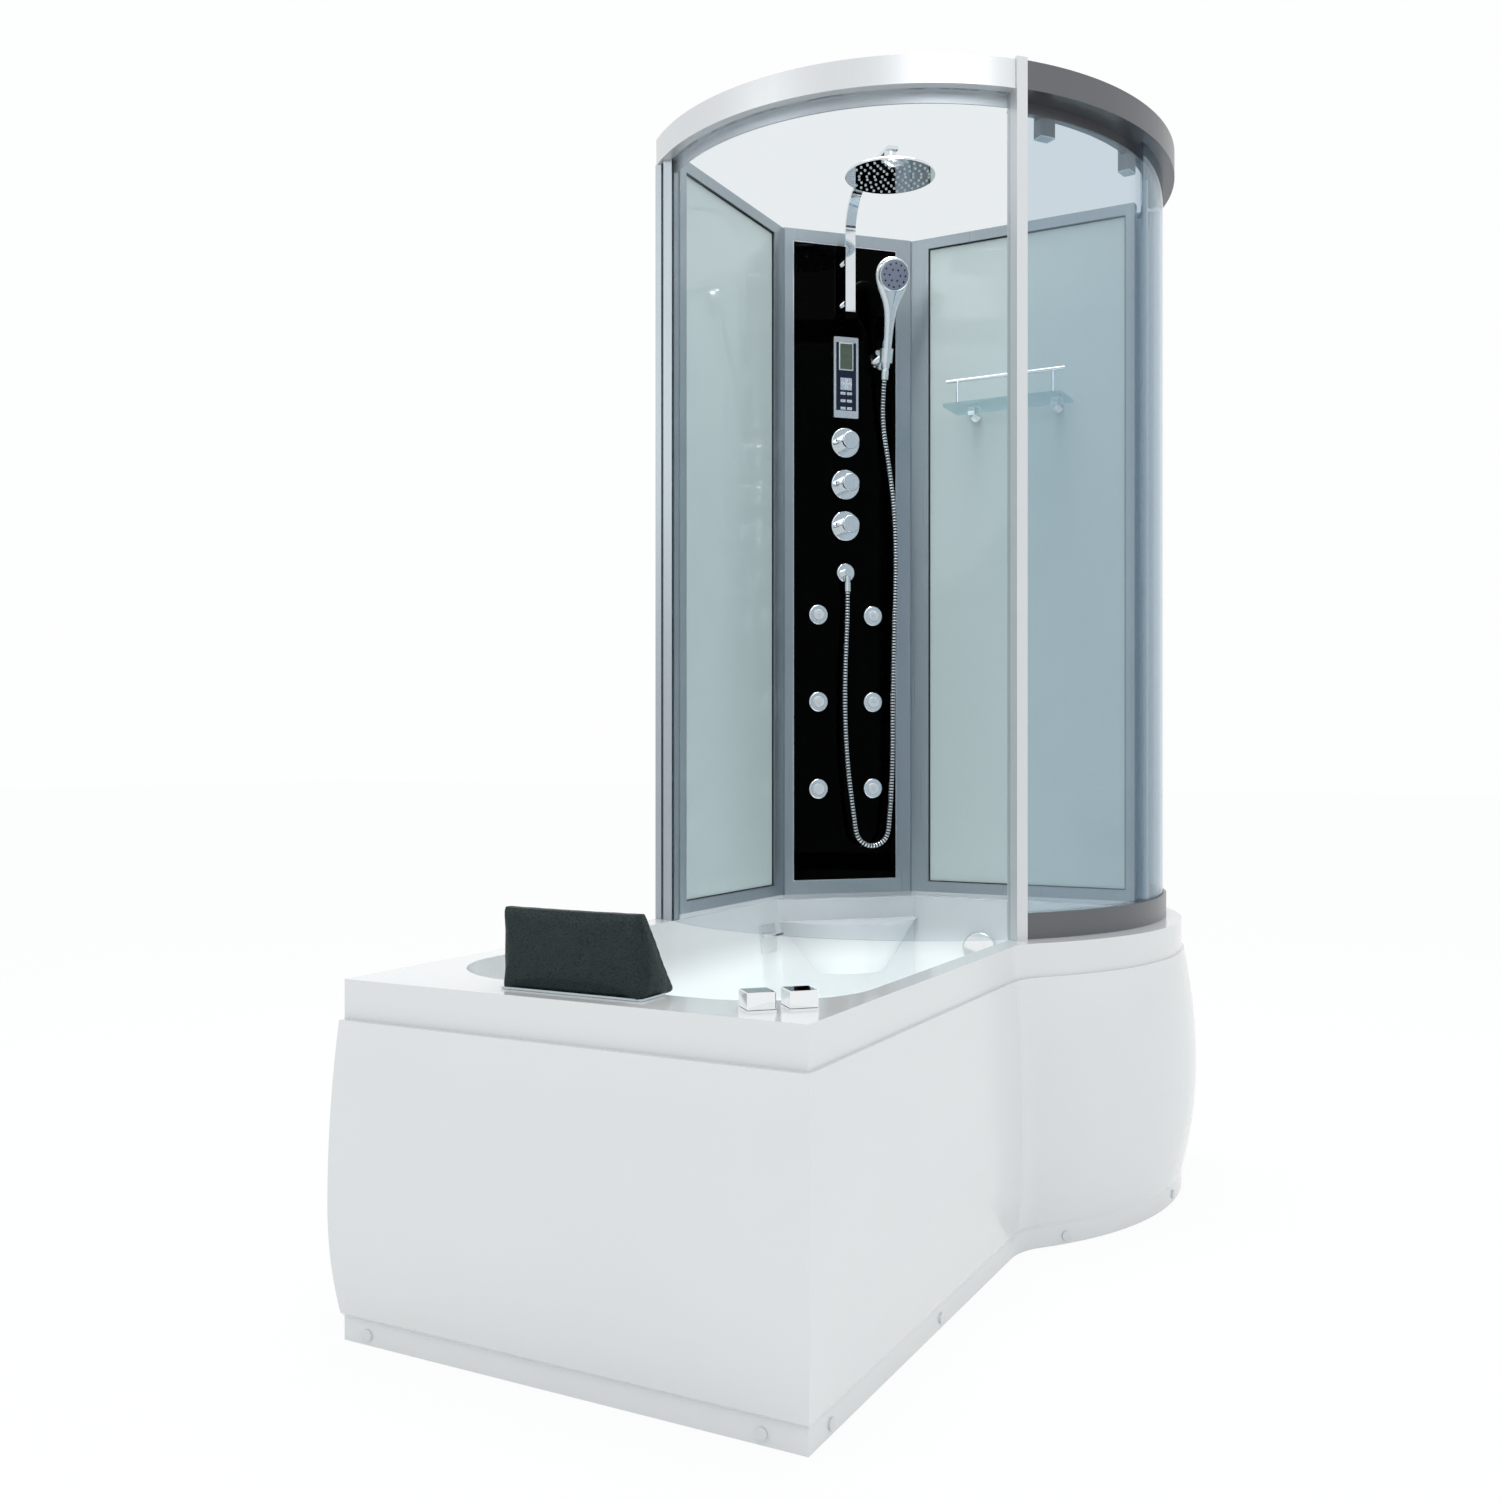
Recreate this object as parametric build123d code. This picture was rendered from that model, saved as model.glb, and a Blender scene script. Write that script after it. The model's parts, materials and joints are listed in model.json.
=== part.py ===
"""Jetted bath with an open-topped shower cabin at its wide end.

The model is worked in bath coordinates: X runs along the bath from the head end, Y from the
front rim to the wall behind, Z up from the floor, all in millimetres. Each piece is moved to
the middle of the bounding box when it is written.
"""
from build123d import *
import math
import os

# Bath plan
BATH_LENGTH = 1700.0
BATH_WIDTH = 800.0
CABIN_LENGTH = 770.0
CABIN_START = BATH_LENGTH - CABIN_LENGTH
BOW_CENTRE = (BATH_LENGTH - 369.0, BATH_WIDTH - 353.0)
BOW_RADIUS = 631.0
NECK_RADIUS = 120.0

# Bath heights and walls
RIM_TOP = 560.0
DECK_THICKNESS = 8.0
SKIRT_BOTTOM = 498.0
SKIRT_THICKNESS = 5.0
UPSTAND_HEIGHT = 10.0
ACRYLIC = 6.0

# Basin
BASIN_HEAD_LEDGE = 108.0
BASIN_FRONT_LEDGE = 38.0
BASIN_REAR_LEDGE = 52.0
BASIN_FAR_LEDGE = 80.0
BASIN_CORNER_RADIUS = 190.0
BASIN_FLOOR = 140.0
BASIN_TAPER = 7.0
BACKREST_LEAN = 31.0
FLOOR_FILLET = 45.0
CABIN_LEDGE_RADIUS = 575.0

# Corner seat
SEAT_TOP = 510.0
SEAT_UNDERSIDE = 385.0
SEAT_RADIUS = 192.0
SEAT_FOOT_RADIUS = 120.0
SEAT_SETBACK = 44.0

# Aprons
PLINTH_HEIGHT = 37.0
APRON_THICKNESS = 5.0
APRON_FLANGE = 20.0
APRON_STEP = 8.0
END_BULGE = (12.0, 37.0, 9.0, 220.0)
SIDE_BULGE = (6.4, 19.8, 4.8, 220.0)
BOW_BULGE = (5.0, 30.0, 3.0, 255.0)
CORNER_RATIO = SIDE_BULGE[1] / END_BULGE[1]
NECK_STEPS = 6
CAP_RADIUS = 8.5
CAP_THICKNESS = 3.0
CAP_HEIGHT = 16.0
CAP_INSET = 68.0
CAP_REAR_INSET = 48.0
CAP_SECOND_X = 479.0
CAP_BOW_ANGLES = (-126.0, -92.0, -66.0)

# Support frame and feet
BAR = 30.0
CROSS_BAR_X = (470.0, CABIN_START, CABIN_START + 400.0)
CROSS_BAR_Y = (90.0, BATH_WIDTH - 80.0)
LONG_BAR_X = (80.0, BATH_LENGTH - 65.0)
LONG_BAR_Y = (165.0, BATH_WIDTH - 135.0)
UPRIGHT_HEAD_X = 50.0
UPRIGHT_FAR_X = BATH_LENGTH - 45.0
FOOT_X = (300.0, CABIN_START - 30.0, BATH_LENGTH - 140.0)
FOOT_RADIUS = 20.0
FOOT_THICKNESS = 12.0
FOOT_ROD_RADIUS = 6.0
RUNNING_FIT = 0.05
GAP = 0.3

# Cabin arcs, as centre and outer radius of each top rail
SCREEN_CENTRE = (BATH_LENGTH - 367.0, BATH_WIDTH - 385.0)
SCREEN_RAIL_RADIUS = 568.0
DOOR_CENTRE = (BATH_LENGTH - 335.0, BATH_WIDTH - 329.0)
DOOR_RAIL_RADIUS = 633.0
BOTTOM_RAIL_RADIUS = 616.0
GLASS = 6.0
SCREEN_GLASS_RADIUS = 548.0
FIXED_GLASS_RADIUS = 609.0
DOOR_GLASS_RADIUS = 600.0
RING_TOP = 2200.0
RING_HEIGHT = 54.0
RING_WALL = 3.0
RING_DEPTH = 24.0
RING_LIP = 23.0
BOTTOM_RAIL_HEIGHT = 49.0
RAIL_BASE = 4.0
RAIL_FIN = 6.0
SCREEN_LIP_GAP = 9.0
DOOR_LIP_GAP = 11.0
ROLLER_RADIUS = 8.0
ROLLER_WIDTH = 5.0
AXLE_RADIUS = 2.5
HANGER_HALF_ANGLE = 1.6
DOOR_LEFT_ANGLE = -131.5
DOOR_RIGHT_ANGLE = -94.0
FIXED_LEFT_ANGLE = -98.0
RAIL_END_ANGLE = -52.0

# Posts and walls
POST_ANGLE = -133.4
RAIL_START_ANGLE = POST_ANGLE + 0.05
POST_OUTER = 636.0
POST_DEPTH = 38.0
POST_WIDTH = 22.0
POST_PROUD = 4.0
WALL_TOP = 2162.0
FRAME_DEPTH = 25.0
FRAME_WIDTH = 25.0
WALL_FACE_Y = BATH_WIDTH - 50.0
WALL_FACE_X = BATH_LENGTH - 60.0
LEFT_WALL_START = CABIN_START
RIGHT_WALL_START = BATH_WIDTH - 828.0
LEFT_STILES = (26.0, 43.0)
RIGHT_STILES = (45.0, 20.0)
WALL_GLASS = 6.0
WALL_GLASS_SETBACK = 6.0
END_CHANNEL = 18.0
END_PROFILE = 14.0
SCREEN_CHANNEL = (30.0, 20.0)
SCREEN_CHANNEL_INSET = 3.0
WALL_POST = 30.0

# Shower column across the corner
COLUMN_WIDTH = 317.0
COLUMN_MIDDLE = (BATH_LENGTH - 182.5, BATH_WIDTH - 161.5)
COLUMN_STILE = 25.0
COLUMN_GLASS_BOTTOM = 601.0
COLUMN_GLASS_TOP = 2134.0
COLUMN_FRAME_PROUD = 4.0

# Things on the column: heights, and places across it
PANEL_SIZE = (63.0, 195.0, 9.0)
PANEL_MIDDLE = 1813.5
DISPLAY_SIZE = (35.0, 65.0, 1.0)
DISPLAY_MIDDLE = 1864.0
PAD_MIDDLE = 1798.0
PAD_RADIUS = 4.6
PAD_REACH = 9.0
KEY_SIZE = (12.0, 6.0)
KEY_PROUD = 1.2
PAD_CROSS = 5.0
KEY_ROWS = (1775.0, 1757.0, 1739.0)
KEY_SPREAD = 8.2
KEY_TRAVEL = 0.8
KEY_WELL = 4.0
KNOB_HEIGHTS = (1657.0, 1556.0, 1456.0)
KNOB_NAMES = ("thermostat_knob", "diverter_knob", "flow_knob")
KNOB_RADIUS = 21.0
KNOB_REACH = 45.0
KNOB_SHAFT_RADIUS = 5.0
ESCUTCHEON_RADIUS = 36.0
ESCUTCHEON_THICKNESS = 6.0
JET_HEIGHTS = (1240.0, 1031.0, 822.0)
JET_SPREAD = 70.0
JET_RADIUS = 24.0
JET_BALL_RADIUS = 15.0
JET_RING_THICKNESS = 9.0
OUTLET_HEIGHT = 1343.0
OUTLET_RADIUS = 22.6
OUTLET_STANDOFF = 18.0
HOLDER_HEIGHT = 1863.0
HOLDER_ACROSS = 88.0
HANDSET_LEAN = 12.7
HANDSET_FOOT = (35.0, 1808.0)
HANDSET_LENGTH = 241.0
HANDSET_HEAD_RADIUS = 45.0
HANDSET_FACE_TILT = 12.0
HANDLE_RADII = (11.2, 14.2)

# Shower arm and rain head
STRAP_WIDTH = 25.0
STRAP_THICKNESS = 8.0
STRAP_STANDOFF = 35.0
STRAP_BOTTOM = 1964.0
STRAP_TOP = 2252.0
STRAP_BEND = 104.0
STRAP_REACH = 305.0
BRACKET_HEIGHTS = (2090.0, 1991.0)
BRACKET_RADIUS = 9.0
RAIN_HEAD_RADIUS = 100.0
RAIN_HEAD_THICKNESS = 7.0
RAIN_HEAD_REACH = STRAP_REACH - 18.0
RAIN_BALL_RADIUS = 8.0
RAIN_BALL_DROP = 30.0
RAIN_HEAD_DROP = 29.0
RAIN_BALL_HEIGHT = STRAP_TOP - RAIN_BALL_DROP
RAIN_HEAD_UNDERSIDE = RAIN_BALL_HEIGHT - RAIN_HEAD_DROP

# Hose: metal spiral hose, hung from the outlet to the foot of the handset
HOSE_RADIUS = 6.0
HOSE_GROOVE = 1.0
HOSE_BORE_RADIUS = 3.6
HOSE_RIBS = 178
HOSE_NUT_LENGTH = 22.0
HOSE_NUT_RADIUS = 8.5

# Route as places across the column, out from it and up
HOSE_ROUTE = (
    (0, 18, 1296), (0, 18, 1240), (-5, 20, 1155), (-9, 23, 1050), (-8, 25, 960),
    (-3, 27, 880), (4, 29, 812), (12, 31, 752), (18, 32, 706), (42, 33, 685),
    (74, 33, 685), (98, 33, 706), (103, 32, 756), (108, 31, 815), (111, 30, 890), (112, 29, 980),
    (114, 28, 1085), (117, 27, 1200), (121, 26, 1310), (122, 25, 1410), (118, 24, 1500),
    (109, 22, 1580), (99, 20, 1645), (91, 19, 1703),
)
HOSE_TAIL = 48.0

# Shelf
SHELF_LENGTH = 284.0
SHELF_Y = (BATH_WIDTH - 404.0 - SHELF_LENGTH, BATH_WIDTH - 404.0)
SHELF_DEPTH = 110.0
SHELF_HEIGHT = 1728.0
SHELF_GLASS = 6.0
SHELF_RAIL_HEIGHT = SHELF_HEIGHT + 52.0
SHELF_POST_Y = (SHELF_Y[0] + 19.0, SHELF_Y[1] - 36.0)
SHELF_CLIP_Y = (SHELF_Y[0] + 36.0, SHELF_Y[1] - 47.0)
SHELF_TUBE = 4.0

# Bath fittings
PILLOW_X = 38.0
PILLOW_Y = (278.0, 529.0)
PILLOW_DEPTH = 98.0
PILLOW_TOP_DEPTH = 20.0
PILLOW_HEIGHT = 127.0
PILLOW_CROWN = 7.0
TAP_PLACES = {"hot_tap_knob": (51.0, 102.0), "cold_tap_knob": (92.0, 58.0)}
TAP_BASE = (42.0, 5.0)
TAP_CUBE = (41.0, 24.0)
TAP_TAIL_RADIUS = 13.0
TAP_TAIL_LENGTH = 60.0
TAP_SHAFT_RADIUS = 6.0
SPOUT_X = BATH_LENGTH - 400.0
SPOUT_SIZE = (70.0, 65.0, 6.0)
SPOUT_MIDDLE = 478.0
SPOUT_LIP = (58.0, 26.0, 10.0)
OVERFLOW_Y = BATH_WIDTH - 474.0
OVERFLOW_HEIGHT = 443.0
OVERFLOW_RADIUS = 40.0
OVERFLOW_THICKNESS = 13.0
OVERFLOW_BASE_RADIUS = 33.0
OVERFLOW_BASE_THICKNESS = 3.0
OVERFLOW_SHAFT_RADIUS = 6.0
OVERFLOW_BARREL_RADIUS = 18.0
DRAIN_X = BATH_LENGTH - 220.0
DRAIN_FLANGE_RADIUS = 35.0
DRAIN_THROAT_RADIUS = 22.0
DRAIN_BODY_RADIUS = 25.0
PLUG_RADIUS = 30.0
PLUG_STEM_RADIUS = 3.0
WASTE_PIPE_RADIUS = 20.0
WASTE_PIPE_LENGTH = 110.0
WASTE_PIPE_DROP = 65.0
WASTE_COLLAR = 3.0
JET_FIRST_X = 440.0
JET_LAST_X = CABIN_START - 100.0
JET_COUNT = 4
WHIRL_JET_HEIGHT = 330.0
WHIRL_JET_FLANGE = 28.0
WHIRL_JET_BODY = 17.0
BACK_JET_Y = (300.0, 500.0)
BACK_JET_HEIGHT = 370.0
PUMP_AT = (180.0, 300.0)
PUMP_AXIS_HEIGHT = 110.0
PUMP_RADIUS = 62.0
PUMP_LENGTH = 190.0
PUMP_FOOT_WIDTH = 100.0
VALVE_SIZE = (60.0, 330.0, 40.0)
VALVE_MIDDLE = 1556.0
INLET_BRIDGE = (26.0, 40.0)
INLET_SPREAD = 40.0
INLET_RADIUS = 10.2
INLET_LENGTH = 26.0

FRONT_EDGE = BOW_CENTRE[1] - BOW_RADIUS - BOW_BULGE[1]
BOX_MIDDLE = ((BATH_LENGTH - END_BULGE[1]) / 2, (BATH_WIDTH + FRONT_EDGE) / 2)
COLUMN = Plane(origin=(*COLUMN_MIDDLE, 0), x_dir=(1, -1, 0), z_dir=(-1, -1, 0))


def block(x, y, z):
    """A box between two values on each axis."""
    middle = [(low + high) / 2 for low, high in (x, y, z)]
    return Pos(*middle) * Box(x[1] - x[0], y[1] - y[0], z[1] - z[0])


def rod(start, end, radius):
    """A round bar from one point to another."""
    along = Vector(*end) - Vector(*start)
    place = Plane(origin=start, z_dir=along)
    return place * Cylinder(radius, along.length, align=(Align.CENTER, Align.CENTER, Align.MIN))


def on_column(across, height, out, shape):
    """Places a shape on the column, its Z axis pointing out of the black glass."""
    return COLUMN * Pos(across, height, out) * shape


def disc(radius, thickness):
    """A disc that starts at its own plane and grows along Z."""
    return Cylinder(radius, thickness, align=(Align.CENTER, Align.CENTER, Align.MIN))


def on_arc(centre, radius, angle, height=0.0):
    """A point on a plan circle, by its angle in degrees."""
    turn = math.radians(angle)
    return (centre[0] + radius * math.cos(turn), centre[1] + radius * math.sin(turn), height)


def ring_sector(centre, r, z, start, end):
    """A band between two radii and two heights, swept from one angle to another."""
    flat = Plane(origin=(*centre, 0), x_dir=on_arc((0, 0), 1, start), z_dir=on_arc((0, 0), 1, start - 90))
    face = flat * Pos((r[0] + r[1]) / 2, (z[0] + z[1]) / 2) * Rectangle(r[1] - r[0], z[1] - z[0])
    return revolve(face, Axis((*centre, 0), (0, 0, 1)), end - start)


def group(pieces):
    """Several separate solids kept under one name."""
    return Compound(children=[solid for piece in pieces for solid in piece.solids()])


def neck(inset=0.0):
    """Centre and end points of the hollow arc between the straight front and the bow."""
    reach = BOW_RADIUS + NECK_RADIUS
    drop = BOW_CENTRE[1] + NECK_RADIUS
    centre = (BOW_CENTRE[0] - math.sqrt(reach**2 - drop**2), -NECK_RADIUS)
    share = (BOW_RADIUS - inset) / reach
    start = (centre[0], inset)
    end = tuple(b + (c - b) * share for b, c in zip(BOW_CENTRE, centre))
    return centre, start, end


def bath_outline(inset=0.0):
    """The rim's outer edge in plan, moved inwards by the inset."""
    centre, start, end = neck(inset)
    far = BATH_LENGTH - inset
    bow = BOW_RADIUS - inset
    far_y = BOW_CENTRE[1] - math.sqrt(bow**2 - (far - BOW_CENTRE[0]) ** 2)
    middle_angle = (math.atan2(end[1] - centre[1], end[0] - centre[0]) + math.pi / 2) / 2
    neck_reach = NECK_RADIUS + inset
    neck_middle = on_arc(centre, neck_reach, math.degrees(middle_angle))[:2]
    bow_middle = (BOW_CENTRE[0], BOW_CENTRE[1] - bow)
    back = BATH_WIDTH - inset
    edges = [
        Line((inset, inset), start),
        ThreePointArc(start, neck_middle, end),
        ThreePointArc(end, bow_middle, (far, far_y)),
        Polyline((far, far_y), (far, back), (inset, back), (inset, inset)),
    ]
    return make_face(edges)


def basin_opening(grow=0.0):
    """The basin's edge at the rim, grown outwards by the thickness of its wall."""
    x = (BASIN_HEAD_LEDGE - grow, BATH_LENGTH - BASIN_FAR_LEDGE + grow)
    y = (BASIN_FRONT_LEDGE - grow, BATH_WIDTH - BASIN_REAR_LEDGE + grow)
    corner = BASIN_CORNER_RADIUS + grow
    tub = Pos((x[0] + x[1]) / 2, (y[0] + y[1]) / 2) * Rectangle(x[1] - x[0], y[1] - y[0])
    tub = fillet(tub.vertices().sort_by(Axis.X)[:2], corner)
    radius = CABIN_LEDGE_RADIUS + grow
    half = (x[1] - DOOR_CENTRE[0] + radius) / 2
    wide = Pos(*DOOR_CENTRE) * Circle(radius)
    wide &= Pos(x[1] - half, DOOR_CENTRE[1] - radius) * Rectangle(2 * half, 2 * (radius - 60))
    face = (tub + wide).faces()[0]
    reach = COLUMN_MIDDLE[0] + COLUMN_MIDDLE[1] - (COLUMN_STILE - grow) * math.sqrt(2)
    far, rear = x[1] + 5, y[1] + 5
    corner_cut = Polyline((far, reach - far), (far, rear), (reach - rear, rear), close=True)
    return (face - make_face(corner_cut)).faces()[0]


def basin_solid(grow=0.0):
    """The basin as a solid: its hollow with no growth, its outer shape when grown by the wall."""
    depth = RIM_TOP - BASIN_FLOOR + grow
    opening = Pos(0, 0, RIM_TOP) * basin_opening(grow)
    tub = extrude(opening, -depth, taper=BASIN_TAPER)
    head = BASIN_HEAD_LEDGE - grow / math.cos(math.radians(BACKREST_LEAN))
    foot = head + (depth + 20) * math.tan(math.radians(BACKREST_LEAN))
    low = RIM_TOP - depth - 20
    outside = head - 300
    wedge = Polyline((head, RIM_TOP), (foot, low), (outside, low), (outside, RIM_TOP), close=True)
    wedge = extrude(Plane.XZ * make_face(wedge), -BATH_WIDTH)
    tub = tub - wedge
    floor_edges = tub.faces().sort_by(Axis.Z)[0].edges()
    return fillet(floor_edges, FLOOR_FILLET + grow)


def wall_plane(point, outward, lean):
    """A plane on a leaning basin wall, its Z axis pointing into the basin."""
    tilt = math.radians(lean)
    normal = (outward[0] * math.cos(tilt), outward[1] * math.cos(tilt), math.sin(tilt))
    across = Vector(*outward, 0).cross(Vector(0, 0, 1))
    return Plane(origin=point, x_dir=across, z_dir=normal)


def front_wall_place(x, height):
    """A place on the front basin wall."""
    y = BASIN_FRONT_LEDGE + (RIM_TOP - height) * math.tan(math.radians(BASIN_TAPER))
    return wall_plane((x, y, height), (0, 1), BASIN_TAPER)


def rear_wall_place(x, height):
    """A place on the rear basin wall."""
    y = BATH_WIDTH - BASIN_REAR_LEDGE - (RIM_TOP - height) * math.tan(math.radians(BASIN_TAPER))
    return wall_plane((x, y, height), (0, -1), BASIN_TAPER)


def backrest_place(y, height):
    """A place on the sloping backrest."""
    x = BASIN_HEAD_LEDGE + (RIM_TOP - height) * math.tan(math.radians(BACKREST_LEAN))
    return wall_plane((x, y, height), (1, 0), BACKREST_LEAN)


def overflow_place():
    """The overflow's place on the far basin wall."""
    slope = math.tan(math.radians(BASIN_TAPER))
    x = BATH_LENGTH - BASIN_FAR_LEDGE - (RIM_TOP - OVERFLOW_HEIGHT) * slope
    return wall_plane((x, OVERFLOW_Y, OVERFLOW_HEIGHT), (-1, 0), BASIN_TAPER)


def whirl_jet_places():
    """Where the whirl jets sit: a row along the front wall and two in the backrest."""
    pitch = (JET_LAST_X - JET_FIRST_X) / (JET_COUNT - 1)
    row = [front_wall_place(JET_FIRST_X + pitch * jet, WHIRL_JET_HEIGHT) for jet in range(JET_COUNT)]
    return row + [backrest_place(y, BACK_JET_HEIGHT) for y in BACK_JET_Y]


def bath_shell():
    """The acrylic bath: deck, skirt, basin, corner seat and the upstand under the walls."""
    deck = extrude(Pos(0, 0, RIM_TOP - DECK_THICKNESS) * bath_outline(), DECK_THICKNESS)
    skirt_face = bath_outline() - bath_outline(SKIRT_THICKNESS)
    skirt = extrude(Pos(0, 0, SKIRT_BOTTOM) * skirt_face, RIM_TOP - SKIRT_BOTTOM - DECK_THICKNESS / 2)
    upstand_z = (RIM_TOP - 1, RIM_TOP + UPSTAND_HEIGHT)
    rear = block((LEFT_WALL_START, BATH_LENGTH), (WALL_FACE_Y, BATH_WIDTH), upstand_z)
    far = block((WALL_FACE_X, BATH_LENGTH), (RIGHT_WALL_START, BATH_WIDTH), upstand_z)
    post_y = (RIGHT_WALL_START - WALL_POST, RIGHT_WALL_START + 1)
    far += block((WALL_FACE_X + FRAME_DEPTH, BATH_LENGTH), post_y, upstand_z)
    reach = COLUMN_MIDDLE[0] + COLUMN_MIDDLE[1]
    corner = (WALL_FACE_X + 1, WALL_FACE_Y + 1)
    column_foot = Polyline(
        (reach - WALL_FACE_Y, WALL_FACE_Y), (WALL_FACE_X, reach - WALL_FACE_X), corner, close=True)
    column_foot = extrude(Pos(0, 0, upstand_z[0]) * make_face(column_foot), UPSTAND_HEIGHT + 1)
    hollow = basin_solid()
    seat_height = SEAT_TOP - SEAT_UNDERSIDE
    seat = Cone(SEAT_FOOT_RADIUS, SEAT_RADIUS, seat_height)
    seat = COLUMN * Pos(0, SEAT_UNDERSIDE + seat_height / 2, -SEAT_SETBACK) * Rot(-90, 0, 0) * seat
    shell = deck + skirt + basin_solid(ACRYLIC) + rear + far + column_foot - (hollow - seat)
    for place in whirl_jet_places():
        shell -= place * Cylinder(WHIRL_JET_BODY + GAP, 60)
    shell -= overflow_place() * Cylinder(OVERFLOW_BARREL_RADIUS + GAP, 60)
    shell -= Pos(DRAIN_X, OVERFLOW_Y, BASIN_FLOOR) * Cylinder(DRAIN_BODY_RADIUS + GAP, 60)
    for place in TAP_PLACES.values():
        shell -= Pos(*place, RIM_TOP) * Cylinder(TAP_TAIL_RADIUS + GAP, 60)
    return shell


def bow_radius(reach, drop):
    """Radius of the arc that leaves the widest height upright and falls back by the reach."""
    return (reach**2 + drop**2) / (2 * reach)


def bulged_section(bulge):
    """The apron's cross-section as a closed wire: offset from the plinth against height."""
    top, most, foot, widest = bulge
    low = PLINTH_HEIGHT + APRON_STEP
    upper = bow_radius(most - top, SKIRT_BOTTOM - widest)
    lower = bow_radius(most - foot, widest - low)
    inner = APRON_THICKNESS

    def offset(height, cut=0.0):
        radius = upper if height > widest else lower
        return most - radius + math.sqrt((radius - cut) ** 2 - (height - widest) ** 2)

    def arc(first, last, cut=0.0):
        middle = (first + last) / 2
        return ThreePointArc(*[(offset(z, cut), z) for z in (first, middle, last)])

    flange = SKIRT_BOTTOM - inner
    inner_low = low + inner
    lines = [
        Line((0, 0), (0, PLINTH_HEIGHT)),
        Line((0, PLINTH_HEIGHT), (foot, low)),
        arc(low, widest),
        arc(widest, SKIRT_BOTTOM),
        Line((top, SKIRT_BOTTOM), (-APRON_FLANGE, SKIRT_BOTTOM)),
        Line((-APRON_FLANGE, SKIRT_BOTTOM), (-APRON_FLANGE, flange)),
        Line((-APRON_FLANGE, flange), (offset(flange, inner), flange)),
        arc(flange, widest, inner),
        arc(widest, inner_low, inner),
        Line((offset(inner_low, inner), inner_low), (-inner, PLINTH_HEIGHT)),
        Line((-inner, PLINTH_HEIGHT), (-inner, 0)),
        Line((-inner, 0), (0, 0)),
    ]
    return Wire(lines)


def section_plane(point, outward):
    """An upright plane whose X axis points out of the bath."""
    across = Vector(*outward, 0)
    return Plane(origin=(*point, 0), x_dir=across, z_dir=across.cross(Vector(0, 0, 1)))


def corner_half(side):
    """Everything on one side of the upright mitre plane at the near front corner."""
    size = 3000.0
    tilt = math.degrees(math.atan2(CORNER_RATIO, 1))
    return Rot(0, 0, tilt) * Pos(0, side * size / 2, 0) * Box(2 * size, size, size)


def end_apron():
    """The bulged panel across the head end."""
    section = section_plane((0, BATH_WIDTH), (-1, 0)) * make_face(bulged_section(END_BULGE))
    panel = extrude(section, BATH_WIDTH + 60, dir=(0, -1, 0))
    return panel & corner_half(1)


def side_apron():
    """The long panel: flat along the tub, hollow at the neck, bowed round the cabin."""
    centre, start, end = neck()
    section = section_plane(start, (0, -1)) * make_face(bulged_section(SIDE_BULGE))
    straight = extrude(section, start[0] + 60, dir=(-1, 0, 0)) & corner_half(-1)
    first = 90.0
    last = math.degrees(math.atan2(end[1] - centre[1], end[0] - centre[0]))
    sections = []
    for step in range(NECK_STEPS + 1):
        share = step / NECK_STEPS
        angle = first + (last - first) * share
        blend = share * share * (3 - 2 * share)
        bulge = [a + (b - a) * blend for a, b in zip(SIDE_BULGE, BOW_BULGE)]
        inward = on_arc((0, 0), -1, angle)[:2]
        place = section_plane(on_arc(centre, NECK_RADIUS, angle)[:2], inward)
        sections.append(place * bulged_section(bulge))
    hollow = Solid.make_loft(sections, ruled=True)
    outward = [e - b for e, b in zip(end, BOW_CENTRE)]
    length = math.hypot(*outward)
    bow_face = section_plane(end, [v / length for v in outward]) * make_face(bulged_section(BOW_BULGE))
    far_y = -math.sqrt(BOW_RADIUS**2 - (BATH_LENGTH - BOW_CENTRE[0]) ** 2)
    turn = math.degrees(math.atan2(far_y, BATH_LENGTH - BOW_CENTRE[0]) - math.atan2(outward[1], outward[0]))
    bow = revolve(bow_face, Axis((*BOW_CENTRE, 0), (0, 0, 1)), turn % 360 + 6)
    bow &= block((0, BATH_LENGTH), (-400, BATH_WIDTH), (-1, RIM_TOP))
    return straight + hollow + bow


def apron_screw_caps():
    """Round caps over the fixing screws along the plinth."""
    cap = disc(CAP_RADIUS, CAP_THICKNESS)
    caps = [Pos(0, y, CAP_HEIGHT) * Rot(0, -90, 0) * cap for y in (CAP_INSET, BATH_WIDTH - CAP_REAR_INSET)]
    caps += [Pos(x, 0, CAP_HEIGHT) * Rot(90, 0, 0) * cap for x in (CAP_INSET, CAP_SECOND_X)]
    for angle in CAP_BOW_ANGLES:
        place = section_plane(on_arc(BOW_CENTRE, BOW_RADIUS, angle)[:2], on_arc((0, 0), 1, angle)[:2])
        caps.append(place * Pos(0, CAP_HEIGHT) * Rot(0, 90, 0) * cap)
    return group(caps)


def frame_uprights():
    """Plan places of the uprights under the deck."""
    head, far = UPRIGHT_HEAD_X, UPRIGHT_FAR_X
    rear = BATH_WIDTH - 60
    return ((head, 60), (head, rear), (far, rear), (far, 40), (CABIN_START - 70, BATH_WIDTH - 22))


def support_frame():
    """Steel bars under the basin and uprights under the deck."""
    top = BASIN_FLOOR - ACRYLIC
    bars = [block((x - BAR / 2, x + BAR / 2), CROSS_BAR_Y, (top - BAR, top)) for x in CROSS_BAR_X]
    for y in LONG_BAR_Y:
        bars.append(block(LONG_BAR_X, (y - BAR / 2, y + BAR / 2), (top - 2 * BAR, top - BAR)))
    under_deck = RIM_TOP - DECK_THICKNESS
    height = under_deck - FOOT_THICKNESS
    for x, y in frame_uprights():
        bars.append(Pos(x, y, FOOT_THICKNESS + height / 2) * Box(BAR, BAR, height))
    return group(bars)


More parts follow.
